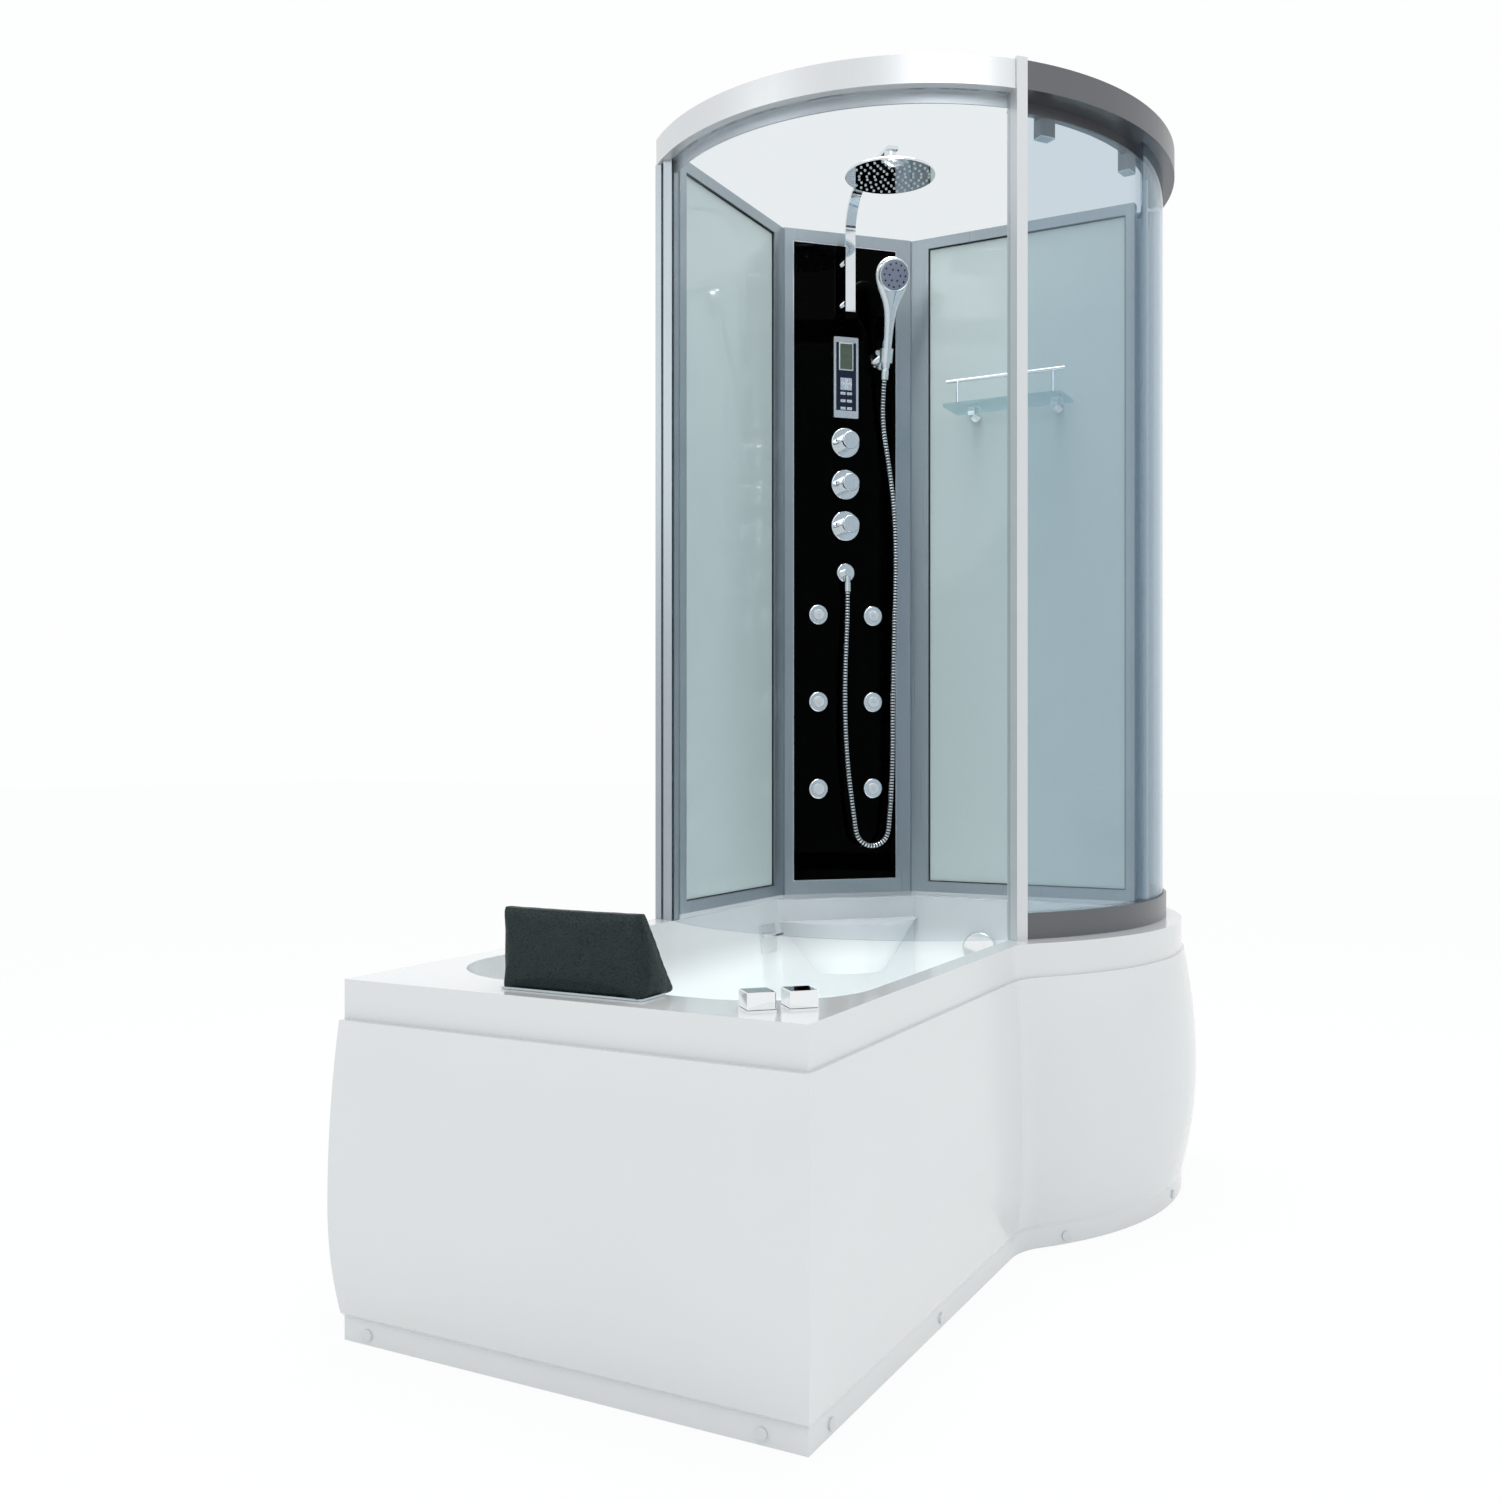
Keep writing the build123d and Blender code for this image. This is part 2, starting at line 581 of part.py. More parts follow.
def levelling_feet():
    """Screwed feet under the long bars and pads under the uprights."""
    feet = []
    under_bar = BASIN_FLOOR - ACRYLIC - 2 * BAR
    for x in FOOT_X:
        for y in LONG_BAR_Y:
            pad = Pos(x, y) * disc(FOOT_RADIUS, FOOT_THICKNESS)
            feet.append(pad + Pos(x, y, FOOT_THICKNESS) * disc(FOOT_ROD_RADIUS, under_bar - FOOT_THICKNESS))
    for x, y in frame_uprights():
        feet.append(Pos(x, y) * disc(FOOT_RADIUS, FOOT_THICKNESS))
    return group(feet)


def head_pillow():
    """The wedge cushion on the head end's ledge, with a crowned front and drawn-in ends."""
    sections = []
    span = PILLOW_Y[1] - PILLOW_Y[0]
    for share in (0.0, 0.04, 0.5, 0.96, 1.0):
        edge = min(share, 1 - share)
        draw = 6.0 * (1 - min(1.0, edge / 0.04)) + 1.0
        crown = PILLOW_CROWN * min(1.0, edge / 0.5) + 1
        y = PILLOW_Y[0] + span * share
        back, top = PILLOW_X + draw, RIM_TOP + PILLOW_HEIGHT - draw
        front = PILLOW_X + PILLOW_DEPTH - draw
        lip = PILLOW_X + PILLOW_TOP_DEPTH - draw / 2
        middle = ((front + lip) / 2 + crown * 0.75, (RIM_TOP + top) / 2 + crown * 0.35)
        plane = Plane(origin=(0, y, 0), x_dir=(1, 0, 0), z_dir=(0, -1, 0))
        sections.append(plane * Wire([
            Line((back, RIM_TOP), (back, top - 8)),
            ThreePointArc((back, top - 8), ((back + lip) / 2, top), (lip, top - 8)),
            ThreePointArc((lip, top - 8), middle, (front, RIM_TOP + 8)),
            Line((front, RIM_TOP + 8), (front - 3, RIM_TOP)),
            Line((front - 3, RIM_TOP), (back, RIM_TOP)),
        ]))
    return Solid.make_loft(sections, ruled=True)


def tap_bases():
    """Square plates under the two cube knobs, with threaded tails through the deck."""
    bases = []
    width, thickness = TAP_BASE
    low = RIM_TOP - TAP_TAIL_LENGTH
    for place in TAP_PLACES.values():
        plate = Pos(*place, RIM_TOP + thickness / 2) * Rot(0, 0, 45) * Box(width, width, thickness)
        tail = Pos(*place, low) * disc(TAP_TAIL_RADIUS, TAP_TAIL_LENGTH)
        bore = Pos(*place, low + 15) * disc(TAP_SHAFT_RADIUS + RUNNING_FIT, TAP_TAIL_LENGTH)
        bases.append(plate + tail - bore)
    return group(bases)


def tap_knob(name):
    """A cube knob turned corner to the bath, on its shaft."""
    place = TAP_PLACES[name]
    bottom = RIM_TOP + TAP_BASE[1] + GAP
    width, height = TAP_CUBE
    cube = Pos(*place, bottom + height / 2) * Rot(0, 0, 45) * Box(width, width, height)
    cube = chamfer(cube.edges(), 1.2)
    shaft_foot = RIM_TOP - TAP_TAIL_LENGTH + 20
    return cube + Pos(*place, shaft_foot) * disc(TAP_SHAFT_RADIUS, bottom - shaft_foot + 1)


def bath_spout():
    """The flat filler on the rear basin wall, with its cascade lip."""
    width, height, thickness = SPOUT_SIZE
    plate = Pos(0, 0, thickness / 2) * Box(width, height, thickness)
    plate = fillet(plate.edges().filter_by(Axis.Z), 4)
    lip_width, lip_reach, lip_height = SPOUT_LIP
    lip = Pos(0, -8, thickness + lip_reach / 2 - 1) * Box(lip_width, lip_height, lip_reach)
    slot = Pos(0, -8, thickness + lip_reach / 2 + 1) * Box(lip_width - 6, lip_height - 5, lip_reach)
    return rear_wall_place(SPOUT_X, SPOUT_MIDDLE) * (plate + lip - slot)


def overflow_knob():
    """The round knob on the far basin wall that lifts the plug."""
    out = OVERFLOW_BASE_THICKNESS + GAP
    knob = Pos(0, 0, out) * disc(OVERFLOW_RADIUS, OVERFLOW_THICKNESS)
    knob = fillet(knob.edges().sort_by(Axis.Z)[-1], 3)
    shaft = Pos(0, 0, -22) * disc(OVERFLOW_SHAFT_RADIUS, 22 + out + 1)
    notch = Pos(0, OVERFLOW_RADIUS - 3, out + OVERFLOW_THICKNESS / 2) * Box(16, 10, OVERFLOW_THICKNESS + 2)
    return overflow_place() * (knob - notch + shaft)


def waste_set():
    """Overflow barrel, floor flange, throat and waste pipe, joined behind the basin by a tube."""
    bore = Pos(0, 0, -25) * disc(OVERFLOW_SHAFT_RADIUS + RUNNING_FIT, 40)
    barrel = disc(OVERFLOW_BASE_RADIUS, OVERFLOW_BASE_THICKNESS)
    barrel += Pos(0, 0, -32) * disc(OVERFLOW_BARREL_RADIUS, 32)
    barrel = overflow_place() * (barrel - bore)
    at = Pos(DRAIN_X, OVERFLOW_Y)
    flange = at * Pos(0, 0, BASIN_FLOOR) * disc(DRAIN_FLANGE_RADIUS, 2.5)
    body = at * Pos(0, 0, BASIN_FLOOR - 70) * disc(DRAIN_BODY_RADIUS, 70)
    throat = at * Pos(0, 0, BASIN_FLOOR - 60) * disc(DRAIN_THROAT_RADIUS, 80)
    drain = flange + body - throat
    cross = at * Pos(0, 0, BASIN_FLOOR - 50) * Box(2 * DRAIN_BODY_RADIUS - 2, 8, 14)
    cross += at * Pos(0, 0, BASIN_FLOOR - 57) * disc(7, 14)
    drain += cross
    drain -= at * Pos(0, 0, BASIN_FLOOR - 60) * disc(PLUG_STEM_RADIUS + RUNNING_FIT, 80)
    start = DRAIN_X + DRAIN_THROAT_RADIUS
    collar_end, pipe_end = waste_pipe_ends()
    pipe_height = BASIN_FLOOR - WASTE_PIPE_DROP
    for end, radius in ((collar_end, WASTE_PIPE_RADIUS + WASTE_COLLAR), (pipe_end, WASTE_PIPE_RADIUS)):
        drain += rod((start, OVERFLOW_Y, pipe_height), (end, OVERFLOW_Y, pipe_height), radius)
    return group([barrel, drain])


def waste_pipe_ends():
    """Where the collar of the waste pipe ends along the bath, and where the pipe ends."""
    collar_end = DRAIN_X + DRAIN_BODY_RADIUS + 8
    return collar_end, collar_end + WASTE_PIPE_LENGTH


def drain_plug():
    """The lifting plug over the waste."""
    at = Pos(DRAIN_X, OVERFLOW_Y)
    cap = at * Pos(0, 0, BASIN_FLOOR + 2.5 + GAP) * disc(PLUG_RADIUS, 5)
    cap = fillet(cap.edges().sort_by(Axis.Z)[-1], 2)
    low = BASIN_FLOOR - 57
    return cap + at * Pos(0, 0, low) * disc(PLUG_STEM_RADIUS, BASIN_FLOOR + 5 - low)


def whirl_jets():
    """Whirl jets in the basin walls: a flange, a nozzle opening and a body behind the wall."""
    jets = []
    for place in whirl_jet_places():
        flange = fillet(disc(WHIRL_JET_FLANGE, 4).edges().sort_by(Axis.Z)[-1], 2)
        body = Pos(0, 0, -24) * disc(WHIRL_JET_BODY, 25)
        nozzle = Pos(0, 0, -6) * disc(7, 20)
        jets.append(place * (flange + body - nozzle))
    return group(jets)


def whirl_pump():
    """Motor, volute, two stubs and a foot that is bolted to the long bar under the backrest."""
    x, y = PUMP_AT
    motor = rod((x, y, PUMP_AXIS_HEIGHT), (x, y + PUMP_LENGTH, PUMP_AXIS_HEIGHT), PUMP_RADIUS)
    volute = rod((x, y - 55, PUMP_AXIS_HEIGHT), (x, y + 1, PUMP_AXIS_HEIGHT), PUMP_RADIUS + 10)
    suction = rod((x, y - 95, PUMP_AXIS_HEIGHT), (x, y - 54, PUMP_AXIS_HEIGHT), 25)
    outlet = rod((x - 35, y - 27, PUMP_AXIS_HEIGHT), (x - 35, y - 27, PUMP_AXIS_HEIGHT + 100), 22)
    half = PUMP_FOOT_WIDTH / 2
    bar_face = LONG_BAR_Y[0] + BAR / 2
    foot = block((x - half, x + half), (bar_face, y + PUMP_LENGTH - 20), (0, 8))
    tab = block((x - half, x + half), (bar_face, bar_face + 4), (0, BASIN_FLOOR - ACRYLIC - BAR))
    web = block((x - 12, x + 12), (y - 30, y + PUMP_LENGTH - 30), (7, PUMP_AXIS_HEIGHT))
    return motor + volute + suction + outlet + foot + tab + web


def wall_bars(length, stiles, top):
    """Bars of a wall frame in its own plane: X along the wall, Y up, Z into the cabin."""
    bottom = RIM_TOP + UPSTAND_HEIGHT
    first, last = stiles

    def bar(x0, x1, y0, y1):
        return block((x0, x1), (y0, y1), (-FRAME_DEPTH, 0))

    return [
        bar(0, first, bottom, top),
        bar(length - last, length, bottom, top),
        bar(first, length - last, bottom, bottom + FRAME_WIDTH),
        bar(first, length - last, top - FRAME_WIDTH, top),
    ]


def wall_pane(length, stiles, top):
    """The pane inside a wall frame, in the frame's own plane."""
    first, last = stiles
    bottom = RIM_TOP + UPSTAND_HEIGHT
    z = (-WALL_GLASS_SETBACK - WALL_GLASS, -WALL_GLASS_SETBACK)
    return block((first, length - last), (bottom + FRAME_WIDTH, top - FRAME_WIDTH), z)


def wall_layout():
    """Plane, length and stile widths of the two side walls."""
    reach = COLUMN_MIDDLE[0] + COLUMN_MIDDLE[1]
    left = Plane(origin=(LEFT_WALL_START, WALL_FACE_Y, 0), x_dir=(1, 0, 0), z_dir=(0, -1, 0))
    right = Plane(origin=(WALL_FACE_X, reach - WALL_FACE_X, 0), x_dir=(0, -1, 0), z_dir=(-1, 0, 0))
    left_length = reach - WALL_FACE_Y - LEFT_WALL_START
    right_length = reach - WALL_FACE_X - RIGHT_WALL_START
    return {"left": (left, left_length, LEFT_STILES), "right": (right, right_length, RIGHT_STILES)}


def screen_channel():
    """Plan ranges of the channel on the left wall that holds the curved screen."""
    width, depth = SCREEN_CHANNEL
    front = WALL_FACE_Y + SCREEN_CHANNEL_INSET
    return (LEFT_WALL_START - width, LEFT_WALL_START), (front, front + depth)


def left_wall_frame():
    """Bars of the left wall, with the channel that holds the curved screen."""
    place, length, stiles = wall_layout()["left"]
    bars = [place * bar for bar in wall_bars(length, stiles, WALL_TOP)]
    z = (RIM_TOP + UPSTAND_HEIGHT, RING_TOP - RING_HEIGHT)
    upright_z = (RIM_TOP, z[1])
    channel_x = (LEFT_WALL_START - END_CHANNEL, LEFT_WALL_START)
    bars.append(block(channel_x, (BATH_WIDTH - END_PROFILE, BATH_WIDTH), upright_z))
    bars.append(block((LEFT_WALL_START, LEFT_WALL_START + 20), (WALL_FACE_Y + FRAME_DEPTH, BATH_WIDTH), z))
    channel = block(*screen_channel(), upright_z)
    start, end = screen_glass_angles()
    slot_r = (SCREEN_GLASS_RADIUS - GLASS - GAP, SCREEN_GLASS_RADIUS + GAP)
    slot = ring_sector(SCREEN_CENTRE, slot_r, (0, RING_TOP), start, end)
    return group(bars + [channel - slot])


def right_wall_frame():
    """Bars of the right wall, with the post that ends the fixed glass."""
    place, length, stiles = wall_layout()["right"]
    bars = [place * bar for bar in wall_bars(length, stiles, WALL_TOP)]
    z = (RIM_TOP + UPSTAND_HEIGHT, RING_TOP - RING_HEIGHT)
    post_y = (RIGHT_WALL_START - WALL_POST, RIGHT_WALL_START)
    bars.append(block((WALL_FACE_X + FRAME_DEPTH, BATH_LENGTH), post_y, z))
    return group(bars)


def column_frame():
    """Bars round the black glass, standing across the corner."""
    bottom = RIM_TOP + UPSTAND_HEIGHT
    half = COLUMN_WIDTH / 2
    depth = (-FRAME_DEPTH + COLUMN_FRAME_PROUD, COLUMN_FRAME_PROUD)
    inner = half - COLUMN_STILE
    reach = COLUMN_MIDDLE[0] + COLUMN_MIDDLE[1]
    space = block((reach - WALL_FACE_Y, BATH_LENGTH), (reach - WALL_FACE_X, BATH_WIDTH), (0, WALL_TOP))
    pieces = [block((-half - FRAME_DEPTH, -inner), (bottom, WALL_TOP), depth)]
    pieces.append(block((inner, half + FRAME_DEPTH), (bottom, WALL_TOP), depth))
    pieces.append(block((-inner, inner), (bottom, COLUMN_GLASS_BOTTOM), depth))
    pieces.append(block((-inner, inner), (COLUMN_GLASS_TOP, WALL_TOP), depth))
    return group([COLUMN * piece & space for piece in pieces])


def column_glass():
    """The black glass, pierced for the valve shafts, jets, outlet, holder and brackets."""
    inner = COLUMN_WIDTH / 2 - COLUMN_STILE
    pane = block((-inner, inner), (COLUMN_GLASS_BOTTOM, COLUMN_GLASS_TOP), (-GLASS, 0))
    for height in KNOB_HEIGHTS:
        pane -= Pos(0, height) * Cylinder(KNOB_SHAFT_RADIUS + 6, 3 * GLASS)
    for height in JET_HEIGHTS:
        for across in (-JET_SPREAD, JET_SPREAD):
            pane -= Pos(across, height) * Cylinder(JET_BALL_RADIUS + 2, 3 * GLASS)
    return COLUMN * pane


def column_escutcheons():
    """Rings round the three knobs and sockets round the six jets."""
    rings = []
    for height in KNOB_HEIGHTS:
        ring = fillet(disc(ESCUTCHEON_RADIUS, ESCUTCHEON_THICKNESS).edges().sort_by(Axis.Z)[-1], 2.5)
        ring -= Cylinder(KNOB_SHAFT_RADIUS + RUNNING_FIT, 4 * ESCUTCHEON_THICKNESS)
        rings.append(on_column(0, height, 0, ring))
    for height in JET_HEIGHTS:
        for across in (-JET_SPREAD, JET_SPREAD):
            ring = fillet(disc(JET_RADIUS, JET_RING_THICKNESS).edges().sort_by(Axis.Z)[-1], 3)
            ring -= Pos(0, 0, jet_ball_out()) * Sphere(JET_BALL_RADIUS + GAP)
            rings.append(on_column(across, height, 0, ring))
    return group(rings)


def jet_ball_out():
    """How far out of the black glass the centre of a jet's ball lies."""
    return JET_RING_THICKNESS / 2 - 2


def jet_nozzle(across, height):
    """A ball nozzle with a flat face and its outlets, free to tilt in its ring."""
    ball = Sphere(JET_BALL_RADIUS) - Pos(0, 0, JET_BALL_RADIUS + 9.5) * Box(40, 40, 2 * JET_BALL_RADIUS)
    for turn in range(6):
        ball -= Rot(0, 0, 60 * turn) * Pos(5.5, 0, 8) * Cylinder(1.1, 8)
    ball -= Pos(0, 0, 8) * Cylinder(1.6, 10)
    return on_column(across, height, jet_ball_out(), ball)


def turning_knob(height):
    """A column knob: cap, small lever pin and the shaft that reaches the valve."""
    start = ESCUTCHEON_THICKNESS + GAP
    cap = Pos(0, 0, start) * disc(KNOB_RADIUS, KNOB_REACH - start)
    cap = fillet(cap.edges().sort_by(Axis.Z)[-1], 2.5)
    lever = Pos(-KNOB_RADIUS + 2, 0, 24) * Rot(0, -90, 0) * disc(4.0, 12)
    shaft = Pos(0, 0, -24) * disc(KNOB_SHAFT_RADIUS, 24 + start + 1)
    return on_column(0, height, 0, cap + lever + shaft)


def valve_block():
    """The mixing valve body behind the glass, with two supply inlets that face the corner."""
    width, height, depth = VALVE_SIZE
    body = Pos(0, VALVE_MIDDLE, -GLASS - depth / 2) * Box(width, height, depth)
    for knob_height in KNOB_HEIGHTS:
        body -= Pos(0, knob_height, -25) * disc(KNOB_SHAFT_RADIUS + RUNNING_FIT, 60)
    low = VALVE_MIDDLE - height / 2
    bridge_height, bridge_depth = INLET_BRIDGE
    bridge = Box(2 * INLET_SPREAD + 30, bridge_height, bridge_depth)
    body += Pos(0, low + bridge_height / 2, -GLASS - depth / 2) * bridge
    for across in (-INLET_SPREAD, INLET_SPREAD):
        root, height, tip = inlet_tip(across)
        body += Pos(root, height, tip) * disc(INLET_RADIUS, INLET_LENGTH + 1)
    return COLUMN * body


def inlet_tip(across):
    """Where a supply inlet ends, in the column's own axes."""
    _, height, depth = VALVE_SIZE
    back = -GLASS - (depth + INLET_BRIDGE[1]) / 2
    return across, VALVE_MIDDLE - height / 2 + INLET_BRIDGE[0] / 2, back - INLET_LENGTH


def control_panel():
    """The chrome-edged control unit, with wells for its display, pad and keys."""
    width, height, depth = PANEL_SIZE
    unit = Pos(0, PANEL_MIDDLE, depth / 2) * Box(width, height, depth)
    unit = fillet(unit.edges().filter_by(Axis.Z), 3)
    display_w, display_h, sunk = DISPLAY_SIZE
    unit -= Pos(0, DISPLAY_MIDDLE, depth) * Box(display_w, display_h, 2 * sunk)
    well = Pos(0, PAD_MIDDLE, depth - KEY_WELL) * extrude(pad_plan(GAP), KEY_WELL)
    unit -= well
    key_w, key_h = KEY_SIZE
    for _, across, row in key_places():
        unit -= Pos(across, row, depth) * Box(key_w + 2 * GAP, key_h + 2 * GAP, 2 * KEY_WELL)
    return COLUMN * unit


def pad_plan(clearance=0.0):
    """Plan of the four-way pad: four round lobes joined by a cross."""
    bar = PAD_CROSS + 2 * clearance
    plan = Rectangle(2 * PAD_REACH, bar) + Rectangle(bar, 2 * PAD_REACH)
    for x, y in ((PAD_REACH, 0), (-PAD_REACH, 0), (0, PAD_REACH), (0, -PAD_REACH)):
        plan += Pos(x, y) * Circle(PAD_RADIUS + clearance)
    return plan


def arrow_pad():
    """The four-way pad, pressed as one piece."""
    depth = PANEL_SIZE[2]
    start = depth - KEY_WELL + KEY_TRAVEL + GAP
    return COLUMN * Pos(0, PAD_MIDDLE, start) * extrude(pad_plan(), depth + KEY_PROUD - start)


def key_places():
    """Names and places of the six keys, row by row."""
    names = (("key_light", "key_radio"), ("key_fan", "key_lamp"), ("key_massage", "key_power"))
    places = []
    for row_names, row in zip(names, KEY_ROWS):
        places.append((row_names[0], -KEY_SPREAD, row))
        places.append((row_names[1], KEY_SPREAD, row))
    return places


def panel_key(across, row):
    """One rectangular key in its well."""
    key_w, key_h = KEY_SIZE
    depth = PANEL_SIZE[2]
    start = depth - KEY_WELL + KEY_TRAVEL + GAP
    height = depth + KEY_PROUD - start
    return COLUMN * Pos(across, row, start + height / 2) * Box(key_w, key_h, height)


def display_window():
    """The display's glass, flush in its well."""
    width, height, sunk = DISPLAY_SIZE
    depth = PANEL_SIZE[2]
    return COLUMN * Pos(0, DISPLAY_MIDDLE, depth - sunk / 2) * Box(width, height, sunk)


def arm_strap():
    """The flat chrome strap, bent forward over the cabin, on two round brackets."""
    middle = STRAP_STANDOFF
    corners = ((middle, STRAP_BOTTOM), (middle, STRAP_TOP), (STRAP_REACH, STRAP_TOP))
    path = FilletPolyline(*corners, radius=STRAP_BEND)
    side = Plane(origin=(*COLUMN_MIDDLE, 0), x_dir=(-1, -1, 0), z_dir=(-1, 1, 0))
    strap = extrude(side * trace(path, STRAP_THICKNESS), STRAP_WIDTH / 2, both=True)
    for height in BRACKET_HEIGHTS:
        strap += on_column(0, height, 0, disc(BRACKET_RADIUS, middle))
        strap += on_column(0, height, 0, disc(BRACKET_RADIUS + 6, 4))
    socket_low = RAIN_BALL_HEIGHT - RAIN_BALL_RADIUS * 0.45
    under = STRAP_TOP - STRAP_THICKNESS / 2
    x, y, _ = (COLUMN * Pos(0, 0, RAIN_HEAD_REACH)).position
    cup = Pos(x, y, socket_low) * disc(RAIN_BALL_RADIUS + 5, under - socket_low + 1)
    cup -= Pos(x, y, RAIN_BALL_HEIGHT) * Sphere(RAIN_BALL_RADIUS + GAP)
    flare = RAIN_BALL_HEIGHT - socket_low
    cup -= Pos(x, y, socket_low + flare / 2 - 0.5) * Cone(RAIN_BALL_RADIUS + 2, 3, flare + 1)
    return strap + cup


def rain_head():
    """The thin round rain head on its ball."""
    x, y, _ = (COLUMN * Pos(0, 0, RAIN_HEAD_REACH)).position
    top = RAIN_HEAD_UNDERSIDE + RAIN_HEAD_THICKNESS
    plate = Pos(x, y, RAIN_HEAD_UNDERSIDE) * disc(RAIN_HEAD_RADIUS, RAIN_HEAD_THICKNESS)
    plate = fillet(plate.edges().sort_by(Axis.Z)[-1], 4)
    hub = Pos(x, y, top + 2.5) * Cone(26, 9, 7)
    neck_bar = Pos(x, y, top + 4) * disc(4.5, RAIN_BALL_HEIGHT - top - 5)
    ball = Pos(x, y, RAIN_BALL_HEIGHT) * Sphere(RAIN_BALL_RADIUS)
    return plate + hub + neck_bar + ball


def handset_plane():
    """Plane at the foot of the handset's handle, its Z axis running up the handle."""
    out, height = HANDSET_FOOT
    lean = math.radians(HANDSET_LEAN)
    foot = (COLUMN * Pos(HOLDER_ACROSS, height, out)).position
    outward = COLUMN.z_dir
    along = outward * math.sin(lean) + Vector(0, 0, 1) * math.cos(lean)
    return Plane(origin=foot, x_dir=COLUMN.x_dir, z_dir=along)


def handle_radius(up):
    """Radius of the tapered handle at a height along it."""
    low, high = HANDLE_RADII
    return low + (high - low) * up / HANDSET_LENGTH


def holder_span():
    """Where along the handle the holder's collar starts and ends."""
    lean = math.radians(HANDSET_LEAN)
    middle = (HOLDER_HEIGHT - HANDSET_FOOT[1]) / math.cos(lean)
    return middle - 17, middle + 17


def collar_cone(clearance):
    """The tapered space that the handle fills inside the collar."""
    low, high = holder_span()
    cone = Cone(handle_radius(low) + clearance, handle_radius(high) + clearance, high - low)
    return Pos(0, 0, (low + high) / 2) * cone


def handset_holder():
    """Round foot on the glass, arm and tapered collar that the handle drops into."""
    low, high = holder_span()
    collar = Pos(0, 0, low) * disc(handle_radius(high) + 4, high - low)
    foot = on_column(HOLDER_ACROSS, HOLDER_HEIGHT, 0, disc(JET_RADIUS, 8))
    stem = on_column(HOLDER_ACROSS, HOLDER_HEIGHT, 0, disc(10, HANDSET_FOOT[0]))
    holder = handset_plane() * collar + foot + stem
    return holder - handset_plane() * collar_cone(GAP)


def handset():
    """Tapered handle, round tilted head and the hose nut at its foot."""
    nut = disc(HOSE_NUT_RADIUS + 1, HOSE_NUT_LENGTH)
    stem = Pos(0, 0, HOSE_NUT_LENGTH) * disc(HOSE_NUT_RADIUS, 4)
    start = HOSE_NUT_LENGTH + 3
    length = HANDSET_LENGTH - 25 - start
    handle = Cone(handle_radius(start), handle_radius(start + length), length)
    handle = Pos(0, 0, start + length / 2) * handle
    tilt = Pos(0, 0, HANDSET_LENGTH) * Rot(HANDSET_FACE_TILT, 0, 0)
    head = tilt * Rot(90, 0, 0) * Pos(0, 0, -12) * disc(HANDSET_HEAD_RADIUS, 12)
    back = tilt * Rot(90, 0, 0) * Pos(0, 0, -20) * Cone(20, HANDSET_HEAD_RADIUS - 2, 18)
    return handset_plane() * (nut + stem + handle + head + back)


def hose_outlet():
    """Escutcheon, elbow and nut that feed the hose."""
    base = on_column(0, OUTLET_HEIGHT, 0, fillet(disc(OUTLET_RADIUS, 8).edges().sort_by(Axis.Z)[-1], 3))
    elbow = on_column(0, OUTLET_HEIGHT, 0, disc(10, OUTLET_STANDOFF + 8))
    top = (COLUMN * Pos(0, OUTLET_HEIGHT, OUTLET_STANDOFF)).position
    end = (COLUMN * Pos(0, HOSE_ROUTE[0][2], OUTLET_STANDOFF)).position
    nut_top = (COLUMN * Pos(0, HOSE_ROUTE[0][2] + HOSE_NUT_LENGTH, OUTLET_STANDOFF)).position
    return base + elbow + rod(top, end, 6.5) + rod(nut_top, end, HOSE_NUT_RADIUS)


def hose_points():
    """The hose's route in bath coordinates, its ends set square to what they meet."""
    points = [(COLUMN * Pos(u, z, n)).position for u, n, z in HOSE_ROUTE]
    foot = handset_plane()
    return points + [foot.origin - foot.z_dir * HOSE_TAIL, foot.origin]


def hose_path():
    """Straight runs joined by tangent arcs, each as large as its two runs allow."""
    points = hose_points()
    radii = []
    for before, here, after in zip(points, points[1:], points[2:]):
        turn = (here - before).get_angle(after - here)
        shorter = min((here - before).length, (after - here).length)
        radii.append(0.45 * shorter / math.tan(math.radians(turn) / 2))
    print("hose arc radii", [round(radius) for radius in radii])
    return FilletPolyline(*points, radius=radii)


def shower_hose():
    """The ribbed metal hose, a bored tube whose ribs follow the path."""
    path = hose_path()
    print("hose length", round(path.length))
    pitch = path.length / HOSE_RIBS
    steady = COLUMN.z_dir
    groove = HOSE_RADIUS - HOSE_GROOVE

    def ring(at, radius):
        return Plane(path @ at, x_dir=steady, z_dir=path % at) * Wire.make_circle(radius)

    rings = []
    for rib in range(HOSE_RIBS):
        for share, radius in ((0.0, groove), (0.3, HOSE_RADIUS), (0.7, HOSE_RADIUS), (0.98, groove)):
            rings.append(ring((rib + share) * pitch / path.length, radius))
    outer = Solid.make_loft(rings + [ring(1, groove)], ruled=True)
    bore = sweep(Plane(path @ 0, z_dir=path % 0) * Circle(HOSE_BORE_RADIUS), path=path)
    print("hose volume over plain tube", round(outer.volume / (math.pi * HOSE_RADIUS**2 * path.length), 3))
    return outer - bore


def post_place():
    """Middle of the front post in plan, its X axis pointing out of the cabin."""
    x, y, _ = on_arc(DOOR_CENTRE, POST_OUTER - POST_DEPTH / 2, POST_ANGLE)
    return Pos(x, y) * Rot(0, 0, POST_ANGLE)


def front_post():
    """The upright where the screen's rail and the door's rail meet."""
    height = RING_TOP + POST_PROUD - RIM_TOP
    return post_place() * Pos(0, 0, RIM_TOP + height / 2) * Box(POST_DEPTH, POST_WIDTH, height)


def front_post_space():
    """The front post with a fitting gap round it, cut from what meets it."""
    depth, width = POST_DEPTH + 2 * GAP, POST_WIDTH + 2 * GAP
    return post_place() * Pos(0, 0, RING_TOP / 2) * Box(depth, width, 2 * RING_TOP)


